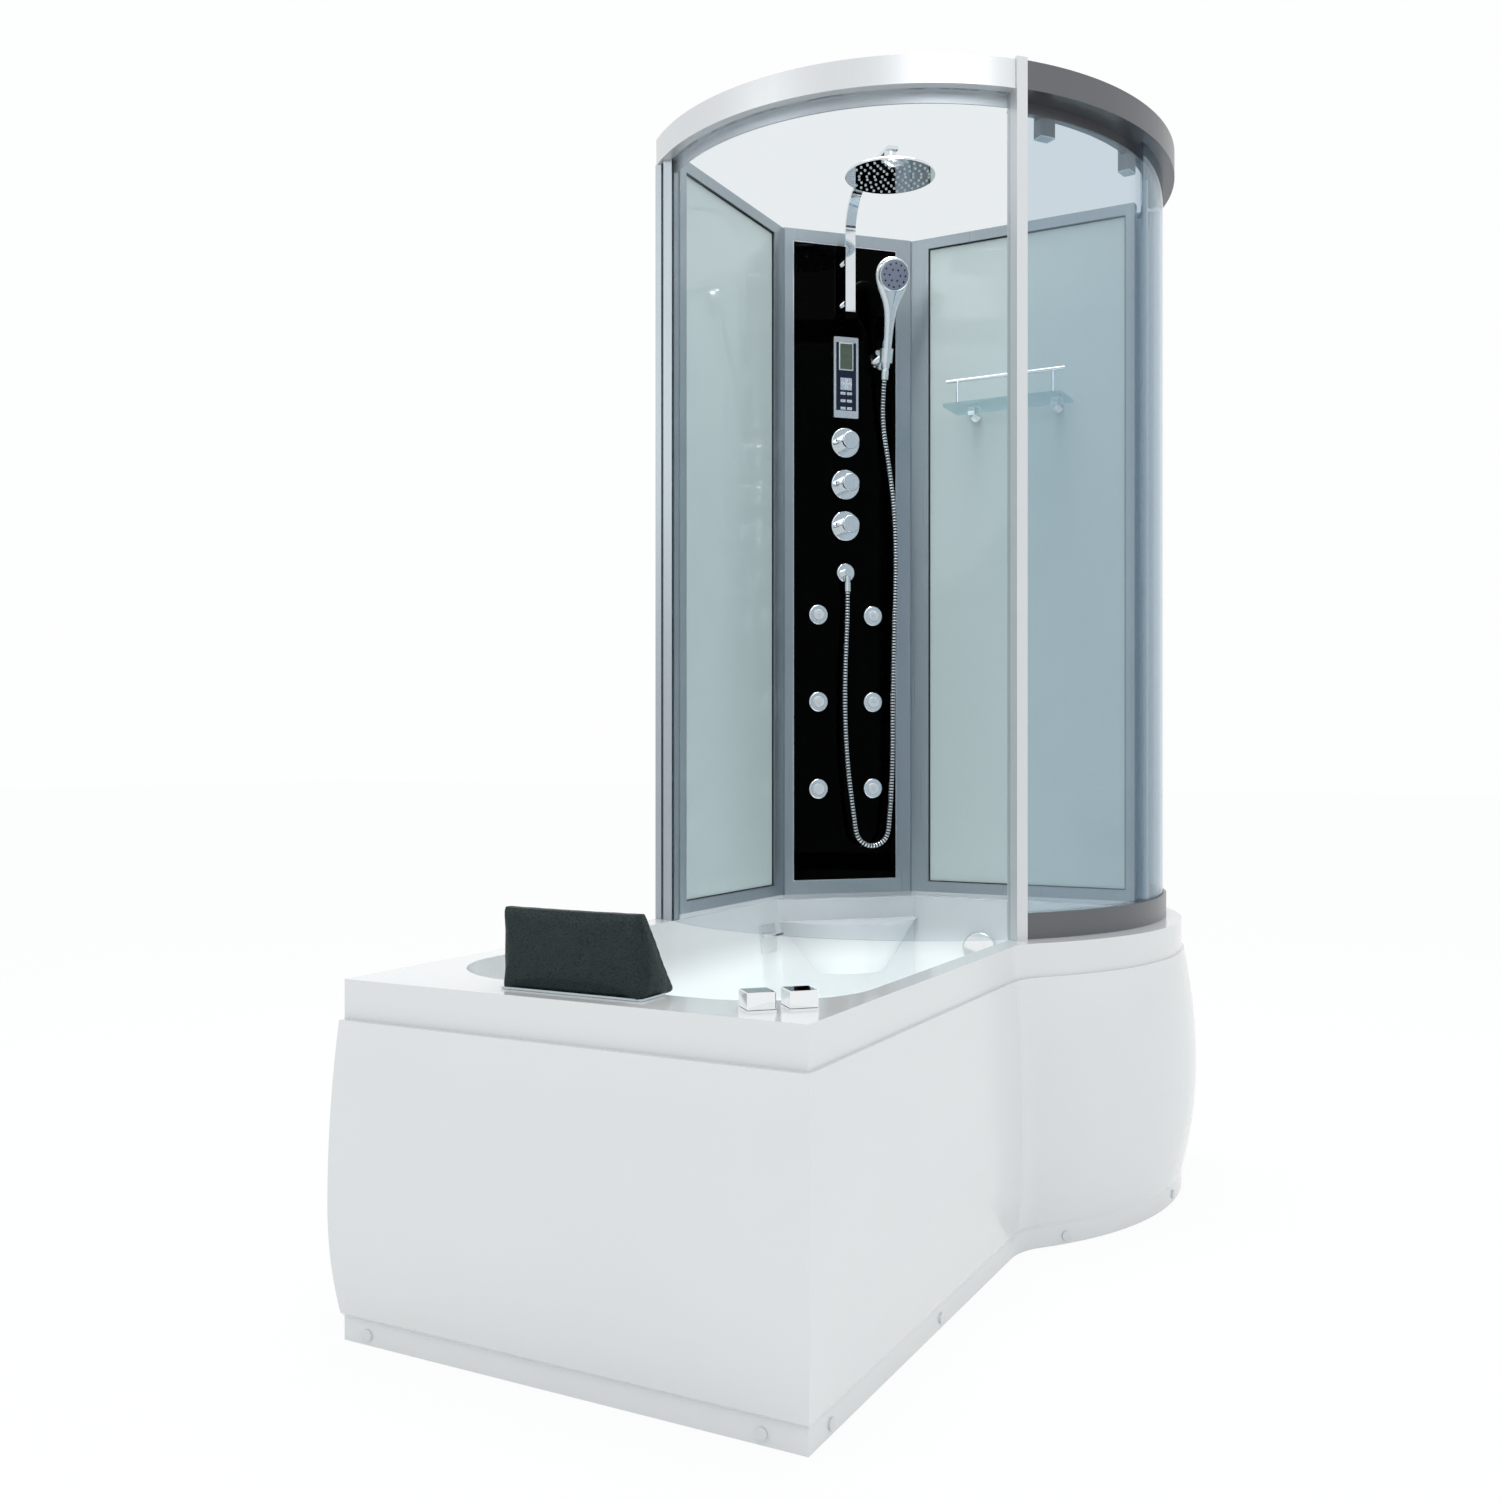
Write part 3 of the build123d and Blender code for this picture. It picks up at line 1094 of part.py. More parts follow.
def largest(shape):
    """The largest solid of a shape, which drops the offcuts beyond a post."""
    return max(shape.solids(), key=lambda solid: solid.volume)


def rail_section(centre, outer, angles, inner):
    """A curved top rail: a hollow band, a plate under it and a lip at the inner radius."""
    top, bottom = RING_TOP, RING_TOP - RING_HEIGHT
    band = ring_sector(centre, (outer - RING_DEPTH, outer), (bottom, top), *angles)
    hollow_r = (outer - RING_DEPTH + RING_WALL, outer - RING_WALL)
    band -= ring_sector(centre, hollow_r, (bottom + RING_WALL, top - RING_WALL), *angles)
    plate = ring_sector(centre, (inner, outer - RING_DEPTH + 1), (bottom, bottom + RING_WALL), *angles)
    lip = ring_sector(centre, (inner, inner + RING_WALL), (bottom - RING_LIP, bottom + 1), *angles)
    return band + plate + lip


def screen_top_rail():
    """The light rail over the curved screen, from the wall to the front post."""
    start = 180 - math.degrees(math.asin((BATH_WIDTH - SCREEN_CENTRE[1]) / SCREEN_RAIL_RADIUS)) - 6
    inner = SCREEN_GLASS_RADIUS - GLASS - SCREEN_LIP_GAP
    rail = rail_section(SCREEN_CENTRE, SCREEN_RAIL_RADIUS, (start, 230.0), inner)
    rail &= block((0, LEFT_WALL_START + 60), (-400, BATH_WIDTH), (0, RING_TOP + 1))
    wall = block((LEFT_WALL_START - GAP, BATH_LENGTH), (WALL_FACE_Y - GAP, BATH_WIDTH), (0, WALL_TOP + GAP))
    channel_x, channel_y = screen_channel()
    channel = block((channel_x[0] - GAP, BATH_LENGTH), (channel_y[0] - GAP, BATH_WIDTH),
                    (0, RING_TOP - RING_HEIGHT))
    return largest(rail - front_post_space() - door_side() - wall - channel)


def door_side():
    """Everything on the door's side of the front post's middle."""
    size = 2000.0
    return post_place() * Pos(0, size / 2, size / 2) * Box(size, size, 2 * size)


def door_top_rail():
    """The dark rail over the door, with the ledge that its rollers run on."""
    inner = DOOR_GLASS_RADIUS - GLASS - DOOR_LIP_GAP
    angles = (RAIL_START_ANGLE, RAIL_END_ANGLE)
    rail = rail_section(DOOR_CENTRE, DOOR_RAIL_RADIUS, angles, inner)
    low = RING_TOP - RING_HEIGHT - RING_LIP
    rail += ring_sector(DOOR_CENTRE, (roller_track() - 4, inner + 1), (low, low + 4), *angles)
    rail &= block((0, BATH_LENGTH), (-400, BATH_WIDTH), (0, RING_TOP + 1))
    return largest(rail - front_post_space() - right_wall_space(WALL_TOP + GAP))


def roller_track():
    """Radius of the middle of the roller track."""
    return DOOR_GLASS_RADIUS - GLASS - DOOR_LIP_GAP - 4


def door_bottom_rail():
    """The dark rail on the rim that guides the door's lower edge."""
    angles = (RAIL_START_ANGLE, RAIL_END_ANGLE)
    inner = DOOR_GLASS_RADIUS - GLASS - 6
    outer = BOTTOM_RAIL_RADIUS
    rail = ring_sector(DOOR_CENTRE, (inner, outer), (RIM_TOP, RIM_TOP + RAIL_BASE), *angles)
    fin = (outer - RAIL_FIN, outer)
    rail += ring_sector(DOOR_CENTRE, fin, (RIM_TOP, RIM_TOP + BOTTOM_RAIL_HEIGHT), *angles)
    rail += ring_sector(DOOR_CENTRE, (inner, inner + 3), (RIM_TOP, RIM_TOP + 16), *angles)
    rail &= block((0, BATH_LENGTH), (-400, BATH_WIDTH), (0, RING_TOP))
    return largest(rail - front_post_space() - right_wall_space(RING_TOP))


def right_wall_space(top):
    """The right wall and its post with a fitting gap, up to a height."""
    start = RIGHT_WALL_START - WALL_POST - GAP
    return block((WALL_FACE_X - GAP, BATH_LENGTH + 1), (start, BATH_WIDTH), (0, top))


def screen_glass_angles():
    """Start and end angles of the curved screen, from its wall channel to the front post."""
    reach = WALL_FACE_Y + 18 - SCREEN_CENTRE[1]
    return 180 - math.degrees(math.asin(reach / SCREEN_GLASS_RADIUS)), 230.0


def screen_glass():
    """The fixed curved screen over the bath's rim."""
    z = (RIM_TOP, RING_TOP - RING_HEIGHT)
    r = (SCREEN_GLASS_RADIUS - GLASS, SCREEN_GLASS_RADIUS)
    glass = ring_sector(SCREEN_CENTRE, r, z, *screen_glass_angles())
    return largest(glass - front_post_space() - door_side())


def fixed_glass():
    """The fixed curved pane between the door and the right wall."""
    z = (RIM_TOP + RAIL_BASE, RING_TOP - RING_HEIGHT)
    r = (FIXED_GLASS_RADIUS - GLASS, FIXED_GLASS_RADIUS)
    glass = ring_sector(DOOR_CENTRE, r, z, FIXED_LEFT_ANGLE, -56.0)
    return largest(glass - right_wall_space(RING_TOP))


def door_glass():
    """The sliding curved pane."""
    z = (RIM_TOP + RAIL_BASE + 4, RING_TOP - RING_HEIGHT - RING_LIP - 6)
    r = (DOOR_GLASS_RADIUS - GLASS, DOOR_GLASS_RADIUS)
    return ring_sector(DOOR_CENTRE, r, z, DOOR_LEFT_ANGLE, DOOR_RIGHT_ANGLE)


def hanger_angles():
    """Where the two door hangers sit, in from the door's edges."""
    return DOOR_LEFT_ANGLE + 6, DOOR_RIGHT_ANGLE - 6


def roller_height():
    """Height of the roller axles above the floor."""
    return RING_TOP - RING_HEIGHT - RING_LIP + 4 + ROLLER_RADIUS + GAP / 2


def door_trims():
    """Edge strips on the door and the hangers that carry its rollers."""
    z = (RIM_TOP + RAIL_BASE + 4, RING_TOP - RING_HEIGHT - RING_LIP - 6)
    strip = ring_sector(DOOR_CENTRE, (DOOR_GLASS_RADIUS - GLASS - 2, DOOR_GLASS_RADIUS + 2), z,
                        DOOR_LEFT_ANGLE - 0.8, DOOR_LEFT_ANGLE)
    tail = ring_sector(DOOR_CENTRE, (DOOR_GLASS_RADIUS - GLASS - 2, DOOR_GLASS_RADIUS + 2), z,
                       DOOR_RIGHT_ANGLE, DOOR_RIGHT_ANGLE + 0.6)
    pieces = [strip, tail]
    inner = roller_track() - ROLLER_WIDTH / 2 - 6
    low = RING_TOP - RING_HEIGHT - RING_LIP - 40
    axle_out = roller_track() + ROLLER_WIDTH / 2 + 0.8
    for angle in hanger_angles():
        span = (angle - HANGER_HALF_ANGLE, angle + HANGER_HALF_ANGLE)
        foot = ring_sector(DOOR_CENTRE, (inner, DOOR_GLASS_RADIUS - GLASS), (low, low + 34), *span)
        plate = ring_sector(DOOR_CENTRE, (inner, inner + 4), (low + 33, roller_height() + 7), *span)
        ends = [on_arc(DOOR_CENTRE, radius, angle, roller_height()) for radius in (inner + 3, axle_out)]
        axle = rod(*ends, AXLE_RADIUS)
        pieces.append(foot + plate + axle)
    return group(pieces)


def roller(angle):
    """One door wheel on its radial axle."""
    half = ROLLER_WIDTH / 2
    start = on_arc(DOOR_CENTRE, roller_track() - half, angle, roller_height())
    end = on_arc(DOOR_CENTRE, roller_track() + half, angle, roller_height())
    return rod(start, end, ROLLER_RADIUS) - rod(start, end, AXLE_RADIUS + RUNNING_FIT)


def shelf_glass():
    """The glass shelf on the right wall."""
    x = (WALL_FACE_X - SHELF_DEPTH, WALL_FACE_X - 2)
    shelf = block(x, SHELF_Y, (SHELF_HEIGHT - SHELF_GLASS, SHELF_HEIGHT))
    return fillet(shelf.edges().filter_by(Axis.Z).group_by(Axis.X)[0], 14)


def shelf_rail():
    """Front rail on two posts and the wall clips under the shelf."""
    x = WALL_FACE_X - SHELF_DEPTH + 12
    pieces = []
    rail = rod((x, SHELF_Y[0] - 8, SHELF_RAIL_HEIGHT), (x, SHELF_Y[1] - 8, SHELF_RAIL_HEIGHT), SHELF_TUBE)
    for y in SHELF_POST_Y:
        rail += rod((x, y, SHELF_HEIGHT), (x, y, SHELF_RAIL_HEIGHT), SHELF_TUBE)
    pieces.append(rail)
    under = SHELF_HEIGHT - SHELF_GLASS
    pane = WALL_FACE_X + WALL_GLASS_SETBACK
    for y in SHELF_CLIP_Y:
        clip = block((WALL_FACE_X - 34, pane), (y - 9, y + 9), (under - 10, under))
        clip += rod((WALL_FACE_X, y, under - 8), (pane, y, under - 8), 12)
        pieces.append(clip)
    return group(pieces)


def all_parts():
    """Every node's name with its solids, in bath coordinates."""
    layout = wall_layout()
    parts = {
        "bath_shell": bath_shell(),
        "end_apron": end_apron(),
        "side_apron": side_apron(),
        "apron_screw_caps": apron_screw_caps(),
        "support_frame": support_frame(),
        "levelling_feet": levelling_feet(),
        "head_pillow": head_pillow(),
        "tap_bases": tap_bases(),
        "bath_spout": bath_spout(),
        "overflow_knob": overflow_knob(),
        "waste_set": waste_set(),
        "drain_plug": drain_plug(),
        "whirl_jets": whirl_jets(),
        "whirl_pump": whirl_pump(),
        "left_wall_frame": left_wall_frame(),
        "left_wall_glass": layout["left"][0] * wall_pane(*layout["left"][1:], WALL_TOP),
        "right_wall_frame": right_wall_frame(),
        "right_wall_glass": layout["right"][0] * wall_pane(*layout["right"][1:], WALL_TOP),
        "column_frame": column_frame(),
        "column_glass": column_glass(),
        "column_escutcheons": column_escutcheons(),
        "valve_block": valve_block(),
        "front_post": front_post(),
        "screen_top_rail": screen_top_rail(),
        "door_top_rail": door_top_rail(),
        "door_bottom_rail": door_bottom_rail(),
        "screen_glass": screen_glass(),
        "fixed_glass": fixed_glass(),
        "door_glass": door_glass(),
        "door_trims": door_trims(),
        "roller_left": roller(hanger_angles()[0]),
        "roller_right": roller(hanger_angles()[1]),
        "shower_arm": arm_strap(),
        "rain_head": rain_head(),
        "handset_holder": handset_holder(),
        "handset": handset(),
        "shower_hose": shower_hose(),
        "hose_outlet": hose_outlet(),
        "control_panel": control_panel(),
        "display_window": display_window(),
        "arrow_pad": arrow_pad(),
        "shelf_glass": shelf_glass(),
        "shelf_rail": shelf_rail(),
    }
    for name in TAP_PLACES:
        parts[name] = tap_knob(name)
    for name, height in zip(KNOB_NAMES, KNOB_HEIGHTS):
        parts[name] = turning_knob(height)
    for name, across, row in key_places():
        parts[name] = panel_key(across, row)
    for row, height in enumerate(JET_HEIGHTS, start=1):
        parts[f"nozzle_left_{row}"] = jet_nozzle(-JET_SPREAD, height)
        parts[f"nozzle_right_{row}"] = jet_nozzle(JET_SPREAD, height)
    return parts


def main():
    """Writes one file for each node, moved to the middle of the footprint."""
    os.makedirs("parts", exist_ok=True)
    to_middle = Pos(-BOX_MIDDLE[0], -BOX_MIDDLE[1], 0)
    for name, shape in all_parts().items():
        export_step(to_middle * shape, f"parts/{name}.step")


if __name__ == "__main__":
    main()
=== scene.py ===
"""Looks of the jetted bath with shower cabin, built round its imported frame.

Lengths are metres. Bath coordinates run from the front corner of the head end: X along the
bath, Y to the wall behind, Z up. The frame's own origin is under the middle of the footprint.
"""
import json
import logging
import math
from dataclasses import dataclass
from enum import Enum
from typing import Callable, Iterable, Sequence
import bmesh
import bpy
from mathutils import Matrix, Vector, noise

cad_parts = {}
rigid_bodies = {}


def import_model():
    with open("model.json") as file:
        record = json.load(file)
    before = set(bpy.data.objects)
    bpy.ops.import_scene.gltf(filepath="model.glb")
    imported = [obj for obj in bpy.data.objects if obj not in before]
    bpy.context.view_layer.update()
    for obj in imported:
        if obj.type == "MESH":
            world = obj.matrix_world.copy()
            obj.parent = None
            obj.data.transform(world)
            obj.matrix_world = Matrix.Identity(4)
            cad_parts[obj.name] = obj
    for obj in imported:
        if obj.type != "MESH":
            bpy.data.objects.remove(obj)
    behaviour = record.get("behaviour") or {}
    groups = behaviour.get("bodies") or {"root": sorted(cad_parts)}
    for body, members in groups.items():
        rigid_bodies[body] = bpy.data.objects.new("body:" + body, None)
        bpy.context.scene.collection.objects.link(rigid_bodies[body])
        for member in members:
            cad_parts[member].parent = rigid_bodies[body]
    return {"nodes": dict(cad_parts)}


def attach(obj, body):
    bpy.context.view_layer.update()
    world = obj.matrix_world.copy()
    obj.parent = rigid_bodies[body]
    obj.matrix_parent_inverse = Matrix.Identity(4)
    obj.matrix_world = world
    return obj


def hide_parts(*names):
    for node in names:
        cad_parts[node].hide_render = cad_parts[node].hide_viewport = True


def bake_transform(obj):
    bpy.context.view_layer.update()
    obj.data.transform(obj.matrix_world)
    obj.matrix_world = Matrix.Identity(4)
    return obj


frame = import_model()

log = logging.getLogger("bath")
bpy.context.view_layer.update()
BATH_CORNER = Vector((-0.8315, -0.2930, 0.0))
Colour = tuple[float, float, float]


def srgb(red: int, green: int, blue: int) -> Colour:
    """Linear colour of an eight-bit display colour."""
    def linear(level: int) -> float:
        """One channel, from 0 to 255, made linear."""
        share = level / 255
        return share / 12.92 if share <= 0.04045 else ((share + 0.055) / 1.055) ** 2.4
    return linear(red), linear(green), linear(blue)


class Value:
    """A shader socket that does arithmetic: each operator adds one Math node."""

    def __init__(self, graph: "Graph", socket: bpy.types.NodeSocket) -> None:
        """Wraps one output socket of a graph."""
        self.graph = graph
        self.socket = socket

    def _math(self, operation: str, *terms: "Value | float") -> "Value":
        """Adds a Math node on the terms, in their order."""
        return self.graph.value("ShaderNodeMath", {"operation": operation}, dict(enumerate(terms)))

    def __add__(self, other: "Value | float") -> "Value":
        """Sum."""
        return self._math("ADD", self, other)

    __radd__ = __add__

    def __sub__(self, other: "Value | float") -> "Value":
        """Difference."""
        return self._math("SUBTRACT", self, other)

    def __rsub__(self, other: "Value | float") -> "Value":
        """Difference, from a number."""
        return self._math("SUBTRACT", other, self)

    def __mul__(self, other: "Value | float") -> "Value":
        """Product."""
        return self._math("MULTIPLY", self, other)

    __rmul__ = __mul__

    def __truediv__(self, other: "Value | float") -> "Value":
        """Quotient."""
        return self._math("DIVIDE", self, other)

    def __pow__(self, other: "Value | float") -> "Value":
        """Power."""
        return self._math("POWER", self, other)

    def above(self, level: float) -> "Value":
        """1 where the value is over the level, else 0."""
        return self._math("GREATER_THAN", self, level)

    def within(self, low: float, high: float) -> "Value":
        """1 between two levels, else 0."""
        return self.above(low) * (1.0 - self.above(high))

    def largest(self, other: "Value | float") -> "Value":
        """The larger of two values."""
        return self._math("MAXIMUM", self, other)

    def sine(self) -> "Value":
        """Sine of the value in radians."""
        return self._math("SINE", self)


class Graph:
    """The nodes of one material or world."""

    def __init__(self, owner: bpy.types.ID) -> None:
        """Empties the owner's node tree."""
        owner.use_nodes = True
        self.lights_world = isinstance(owner, bpy.types.World)
        self.tree = owner.node_tree
        self.tree.nodes.clear()

    def node(self, kind: str, settings: dict | None = None, inputs: dict | None = None) -> bpy.types.Node:
        """Adds a node.

        Args:
            kind: the node's type.
            settings: its own settings, set first; a ramp's stops are pairs of place and colour.
            inputs: values, wrapped sockets or sockets, by the input's name or number.

        Returns:
            The new node.
        """
        made = self.tree.nodes.new(kind)
        for name, value in (settings or {}).items():
            if name == "stops":
                self._stops(made.color_ramp, value)
            else:
                setattr(made, name, value)
        for key, value in (inputs or {}).items():
            target = made.inputs[key]
            source = value.socket if isinstance(value, Value) else value
            if isinstance(source, bpy.types.NodeSocket):
                self.tree.links.new(source, target)
            elif hasattr(target.default_value, "__len__") and len(target.default_value) == 4 and len(source) == 3:
                target.default_value = (*source, 1.0)
            else:
                target.default_value = source
        return made

    @staticmethod
    def _stops(ramp: bpy.types.ColorRamp, stops: Sequence[tuple[float, Colour]]) -> None:
        """Sets a ramp's stops."""
        while len(ramp.elements) < len(stops):
            ramp.elements.new(0.5)
        for element, (place, colour) in zip(ramp.elements, stops):
            element.position = place
            element.color = (*colour, 1.0)

    def value(self, kind: str, settings: dict | None = None, inputs: dict | None = None,
              output: int | str = 0) -> Value:
        """Adds a node and wraps one of its outputs."""
        return Value(self, self.node(kind, settings, inputs).outputs[output])

    def axes(self) -> tuple[Value, Value, Value]:
        """The piece's own coordinates."""
        place = self.node("ShaderNodeTexCoord").outputs["Object"]
        split = self.node("ShaderNodeSeparateXYZ", None, {0: place})
        return tuple(Value(self, socket) for socket in split.outputs)

    def stretched(self, stretch: Sequence[float]) -> bpy.types.NodeSocket:
        """The piece's own coordinates, scaled on each axis."""
        place = self.node("ShaderNodeTexCoord").outputs["Object"]
        return self.node("ShaderNodeMapping", None, {"Vector": place, "Scale": stretch}).outputs[0]

    def grain(self, scale: float, detail: float = 2.0, stretch: Sequence[float] = (1, 1, 1)) -> Value:
        """Soft noise from 0 to 1 on the piece's own coordinates."""
        return self.value("ShaderNodeTexNoise", None,
                          {"Vector": self.stretched(stretch), "Scale": scale, "Detail": detail})

    def mix(self, share: "Value | float", first: object, second: object) -> bpy.types.NodeSocket:
        """A colour between two colours."""
        made = self.node("ShaderNodeMix", {"data_type": "RGBA"}, {0: share, 6: first, 7: second})
        return made.outputs[2]

    def bump(self, height: Value, strength: float, depth: float) -> bpy.types.NodeSocket:
        """A bumped normal from a height from 0 to 1."""
        return self.node("ShaderNodeBump", None,
                         {"Height": height, "Strength": strength, "Distance": depth}).outputs[0]

    def finish(self, shader: bpy.types.Node) -> None:
        """Shows a shader."""
        kind = "ShaderNodeOutputWorld" if self.lights_world else "ShaderNodeOutputMaterial"
        self.node(kind, None, {"Surface": shader.outputs[0]})


class Finish:
    """A surface finish: subclasses give its name and its shader."""

    name: str

    def shader(self, graph: Graph) -> bpy.types.Node:
        """The shader node of this finish."""
        raise NotImplementedError

    def material(self) -> bpy.types.Material:
        """The finish as a material, made once."""
        found = bpy.data.materials.get(self.name)
        if found:
            return found
        made = bpy.data.materials.new(self.name)
        graph = Graph(made)
        graph.finish(self.shader(graph))
        return made


@dataclass(frozen=True)
class Acrylic(Finish):
    """Glossy sanitary acrylic with a faint orange peel, a little unevenness in its gloss and painted light that
    whitens the basin.
    """

    name: str = "Sanitary acrylic"
    colour: Colour = srgb(210, 212, 212)
    shade: Colour = srgb(205, 208, 209)
    # Painted light: a whiter colour down in the basin, standing in for light that falls short there.
    inside: Colour = srgb(243, 246, 246)
    roughness: float = 0.13
    brim: float = 0.5
    fade: float = 0.09

    def shader(self, graph: Graph) -> bpy.types.Node:
        """Pale base, painted whiter down in the basin as light that the basin lacks, with slow mottling and a
        clear gloss.
        """
        mottle = graph.grain(3.0, 3.0)
        peel = graph.grain(220.0, 1.0)
        # Painted light mask: 0 below the brim, where the basin is painted whiter, 1 above it.
        unpainted_share = graph.value("ShaderNodeMapRange", {"interpolation_type": "SMOOTHSTEP"}, {
            "Value": graph.axes()[2], "From Min": self.brim - self.fade, "From Max": self.brim})
        return graph.node("ShaderNodeBsdfPrincipled", None, {
            "Base Color": graph.mix(unpainted_share, self.inside, graph.mix(mottle, self.colour, self.shade)),
            "Roughness": mottle * 0.06 + (self.roughness - 0.03),
            "IOR": 1.49,
            "Coat Weight": 0.25,
            "Coat Roughness": 0.04,
            "Normal": graph.bump(peel, 0.03, 0.0004),
        })


@dataclass(frozen=True)
class Aluminium(Finish):
    """Drawn and anodised aluminium with faint die lines along its length."""

    name: str = "Grey aluminium"
    colour: Colour = srgb(170, 178, 183)
    shade: Colour = srgb(148, 157, 163)
    roughness: float = 0.3
    metallic: float = 0.75
    lines: tuple[float, float, float] = (900.0, 900.0, 3.0)

    def shader(self, graph: Graph) -> bpy.types.Node:
        """Metal with stretched grain in its colour, gloss and relief."""
        grain = graph.grain(1.0, 2.0, self.lines)
        cloud = graph.grain(5.0, 2.0)
        return graph.node("ShaderNodeBsdfPrincipled", None, {
            "Base Color": graph.mix(cloud * 0.6 + grain * 0.4, self.colour, self.shade),
            "Metallic": self.metallic,
            "Roughness": grain * 0.12 + (self.roughness - 0.06),
            "Normal": graph.bump(grain, 0.06, 0.0003),
        })


@dataclass(frozen=True)
class Chrome(Finish):
    """Polished chrome plate with the slight haze of handling."""

    name: str = "Chrome plate"
    colour: Colour = (0.86, 0.88, 0.89)
    roughness: float = 0.045

    def shader(self, graph: Graph) -> bpy.types.Node:
        """Mirror-like metal, a little uneven in gloss."""
        haze = graph.grain(35.0, 4.0)
        return graph.node("ShaderNodeBsdfPrincipled", None, {
            "Base Color": graph.mix(haze, self.colour, tuple(0.96 * c for c in self.colour)),
            "Metallic": 1.0,
            "Roughness": haze * 0.04 + (self.roughness - 0.02),
        })


@dataclass(frozen=True)
class RibbedMetal(Finish):
    """Bright coiled strip, painted near-black in the grooves between its turns as shade."""

    name: str = "Hose metal"
    ridge: Colour = (0.86, 0.88, 0.89)
    # Painted shade: the near-black colour laid in the grooves, where shade falls.
    groove: Colour = (0.012, 0.013, 0.015)

    def shader(self, graph: Graph) -> bpy.types.Node:
        """Metal painted darker with the depth stored on the tube, as shade in the grooves."""
        depth = graph.value("ShaderNodeAttribute", {"attribute_name": "groove"}, None, "Fac")
        # Painted shade mask: rises with the groove depth.
        dark = graph.value("ShaderNodeMapRange", {"interpolation_type": "SMOOTHSTEP"},
                           {"Value": depth, "From Min": 0.02, "From Max": 0.24})
        return graph.node("ShaderNodeBsdfPrincipled", None, {
            "Base Color": graph.mix(dark, self.ridge, self.groove),
            "Metallic": 1.0 - dark * 0.7,
            "Roughness": dark * 0.45 + 0.12,
        })


@dataclass(frozen=True)
class ClearGlass(Finish):
    """Toughened safety glass that passes light, with its own mirror at a glancing angle."""

    name: str = "Clear safety glass"
    tint: Colour = (0.905, 0.922, 0.934)
    mirror: float = 0.85
    sheen: float = 0.0

    def shader(self, graph: Graph) -> bpy.types.Node:
        """A tinted see-through surface with a clear reflection by its angle."""
        clear = graph.node("ShaderNodeBsdfTransparent", None, {"Color": self.tint})
        smear = graph.grain(9.0, 3.0, (1, 1, 0.3))
        gloss = graph.node("ShaderNodeBsdfPrincipled", None, {
            "Base Color": srgb(205, 222, 232),
            "Metallic": 1.0,
            "Roughness": smear * 0.04 + 0.01,
        })
        grazing = graph.value("ShaderNodeLayerWeight", None, {"Blend": 0.5}, "Facing")
        share = grazing ** 5.0 * self.mirror + self.sheen
        return graph.node("ShaderNodeMixShader", None, {0: share, 1: clear.outputs[0], 2: gloss.outputs[0]})


@dataclass(frozen=True)
class BackedGlass(Finish):
    """Glass painted on its back: a smooth body colour under a clear gloss."""

    name: str = "Grey wall glass"
    colour: Colour = srgb(202, 212, 209)
    shade: Colour = srgb(195, 206, 203)
    roughness: float = 0.04
    specular: float = 0.5

    def shader(self, graph: Graph) -> bpy.types.Node:
        """Even colour with a slow cloud and a nearly clear reflection."""
        cloud = graph.grain(1.6, 2.0)
        return graph.node("ShaderNodeBsdfPrincipled", None, {
            "Base Color": graph.mix(cloud, self.colour, self.shade),
            "Roughness": cloud * 0.03 + self.roughness,
            "Specular IOR Level": self.specular,
        })


@dataclass(frozen=True)
class Moulding(Finish):
    """Injection-moulded plastic or rubber with a fine spark-eroded texture."""

    name: str
    colour: Colour
    roughness: float = 0.35
    relief: float = 0.08

    def body(self, graph: Graph) -> bpy.types.NodeSocket:
        """The body colour, a little clouded."""
        return graph.mix(graph.grain(14.0, 2.0), self.colour, tuple(0.9 * c for c in self.colour))

    def shader(self, graph: Graph) -> bpy.types.Node:
        """Body colour with fine grain in its relief and gloss."""
        grain = graph.grain(700.0, 2.0)
        return graph.node("ShaderNodeBsdfPrincipled", None, {
            "Base Color": self.body(graph),
            "Roughness": grain * 0.1 + self.roughness,
            "Normal": graph.bump(grain, self.relief, 0.0003),
        })


@dataclass(frozen=True)
class DoorTrim(Moulding):
    """Pale seals up the door's edges and grey carriers over them, by height."""

    name: str = "Door seals and carriers"
    colour: Colour = srgb(196, 208, 212)
    roughness: float = 0.25
    relief: float = 0.02
    carrier: Colour = srgb(92, 95, 99)
    carrier_height: float = 2.085

    def body(self, graph: Graph) -> bpy.types.NodeSocket:
        """Grey over the seals' top end, pale below it."""
        height = graph.axes()[2]
        return graph.mix(height.above(self.carrier_height), super().body(graph), self.carrier)


@dataclass(frozen=True)
class Galvanised(Finish):
    """Zinc-coated steel with its spangle."""

    name: str = "Galvanised steel"
    bright: Colour = srgb(176, 180, 182)
    dull: Colour = srgb(128, 133, 137)

    def shader(self, graph: Graph) -> bpy.types.Node:
        """Cells of crystal in two greys."""
        cells = graph.value("ShaderNodeTexVoronoi", None, {"Vector": graph.stretched((1, 1, 1)), "Scale": 110.0},
                            "Color")
        tone = graph.value("ShaderNodeRGBToBW", None, {0: cells})
        return graph.node("ShaderNodeBsdfPrincipled", None, {
            "Base Color": graph.mix(tone, self.dull, self.bright),
            "Metallic": 0.8,
            "Roughness": tone * 0.2 + 0.35,
            "Normal": graph.bump(tone, 0.05, 0.0003),
        })


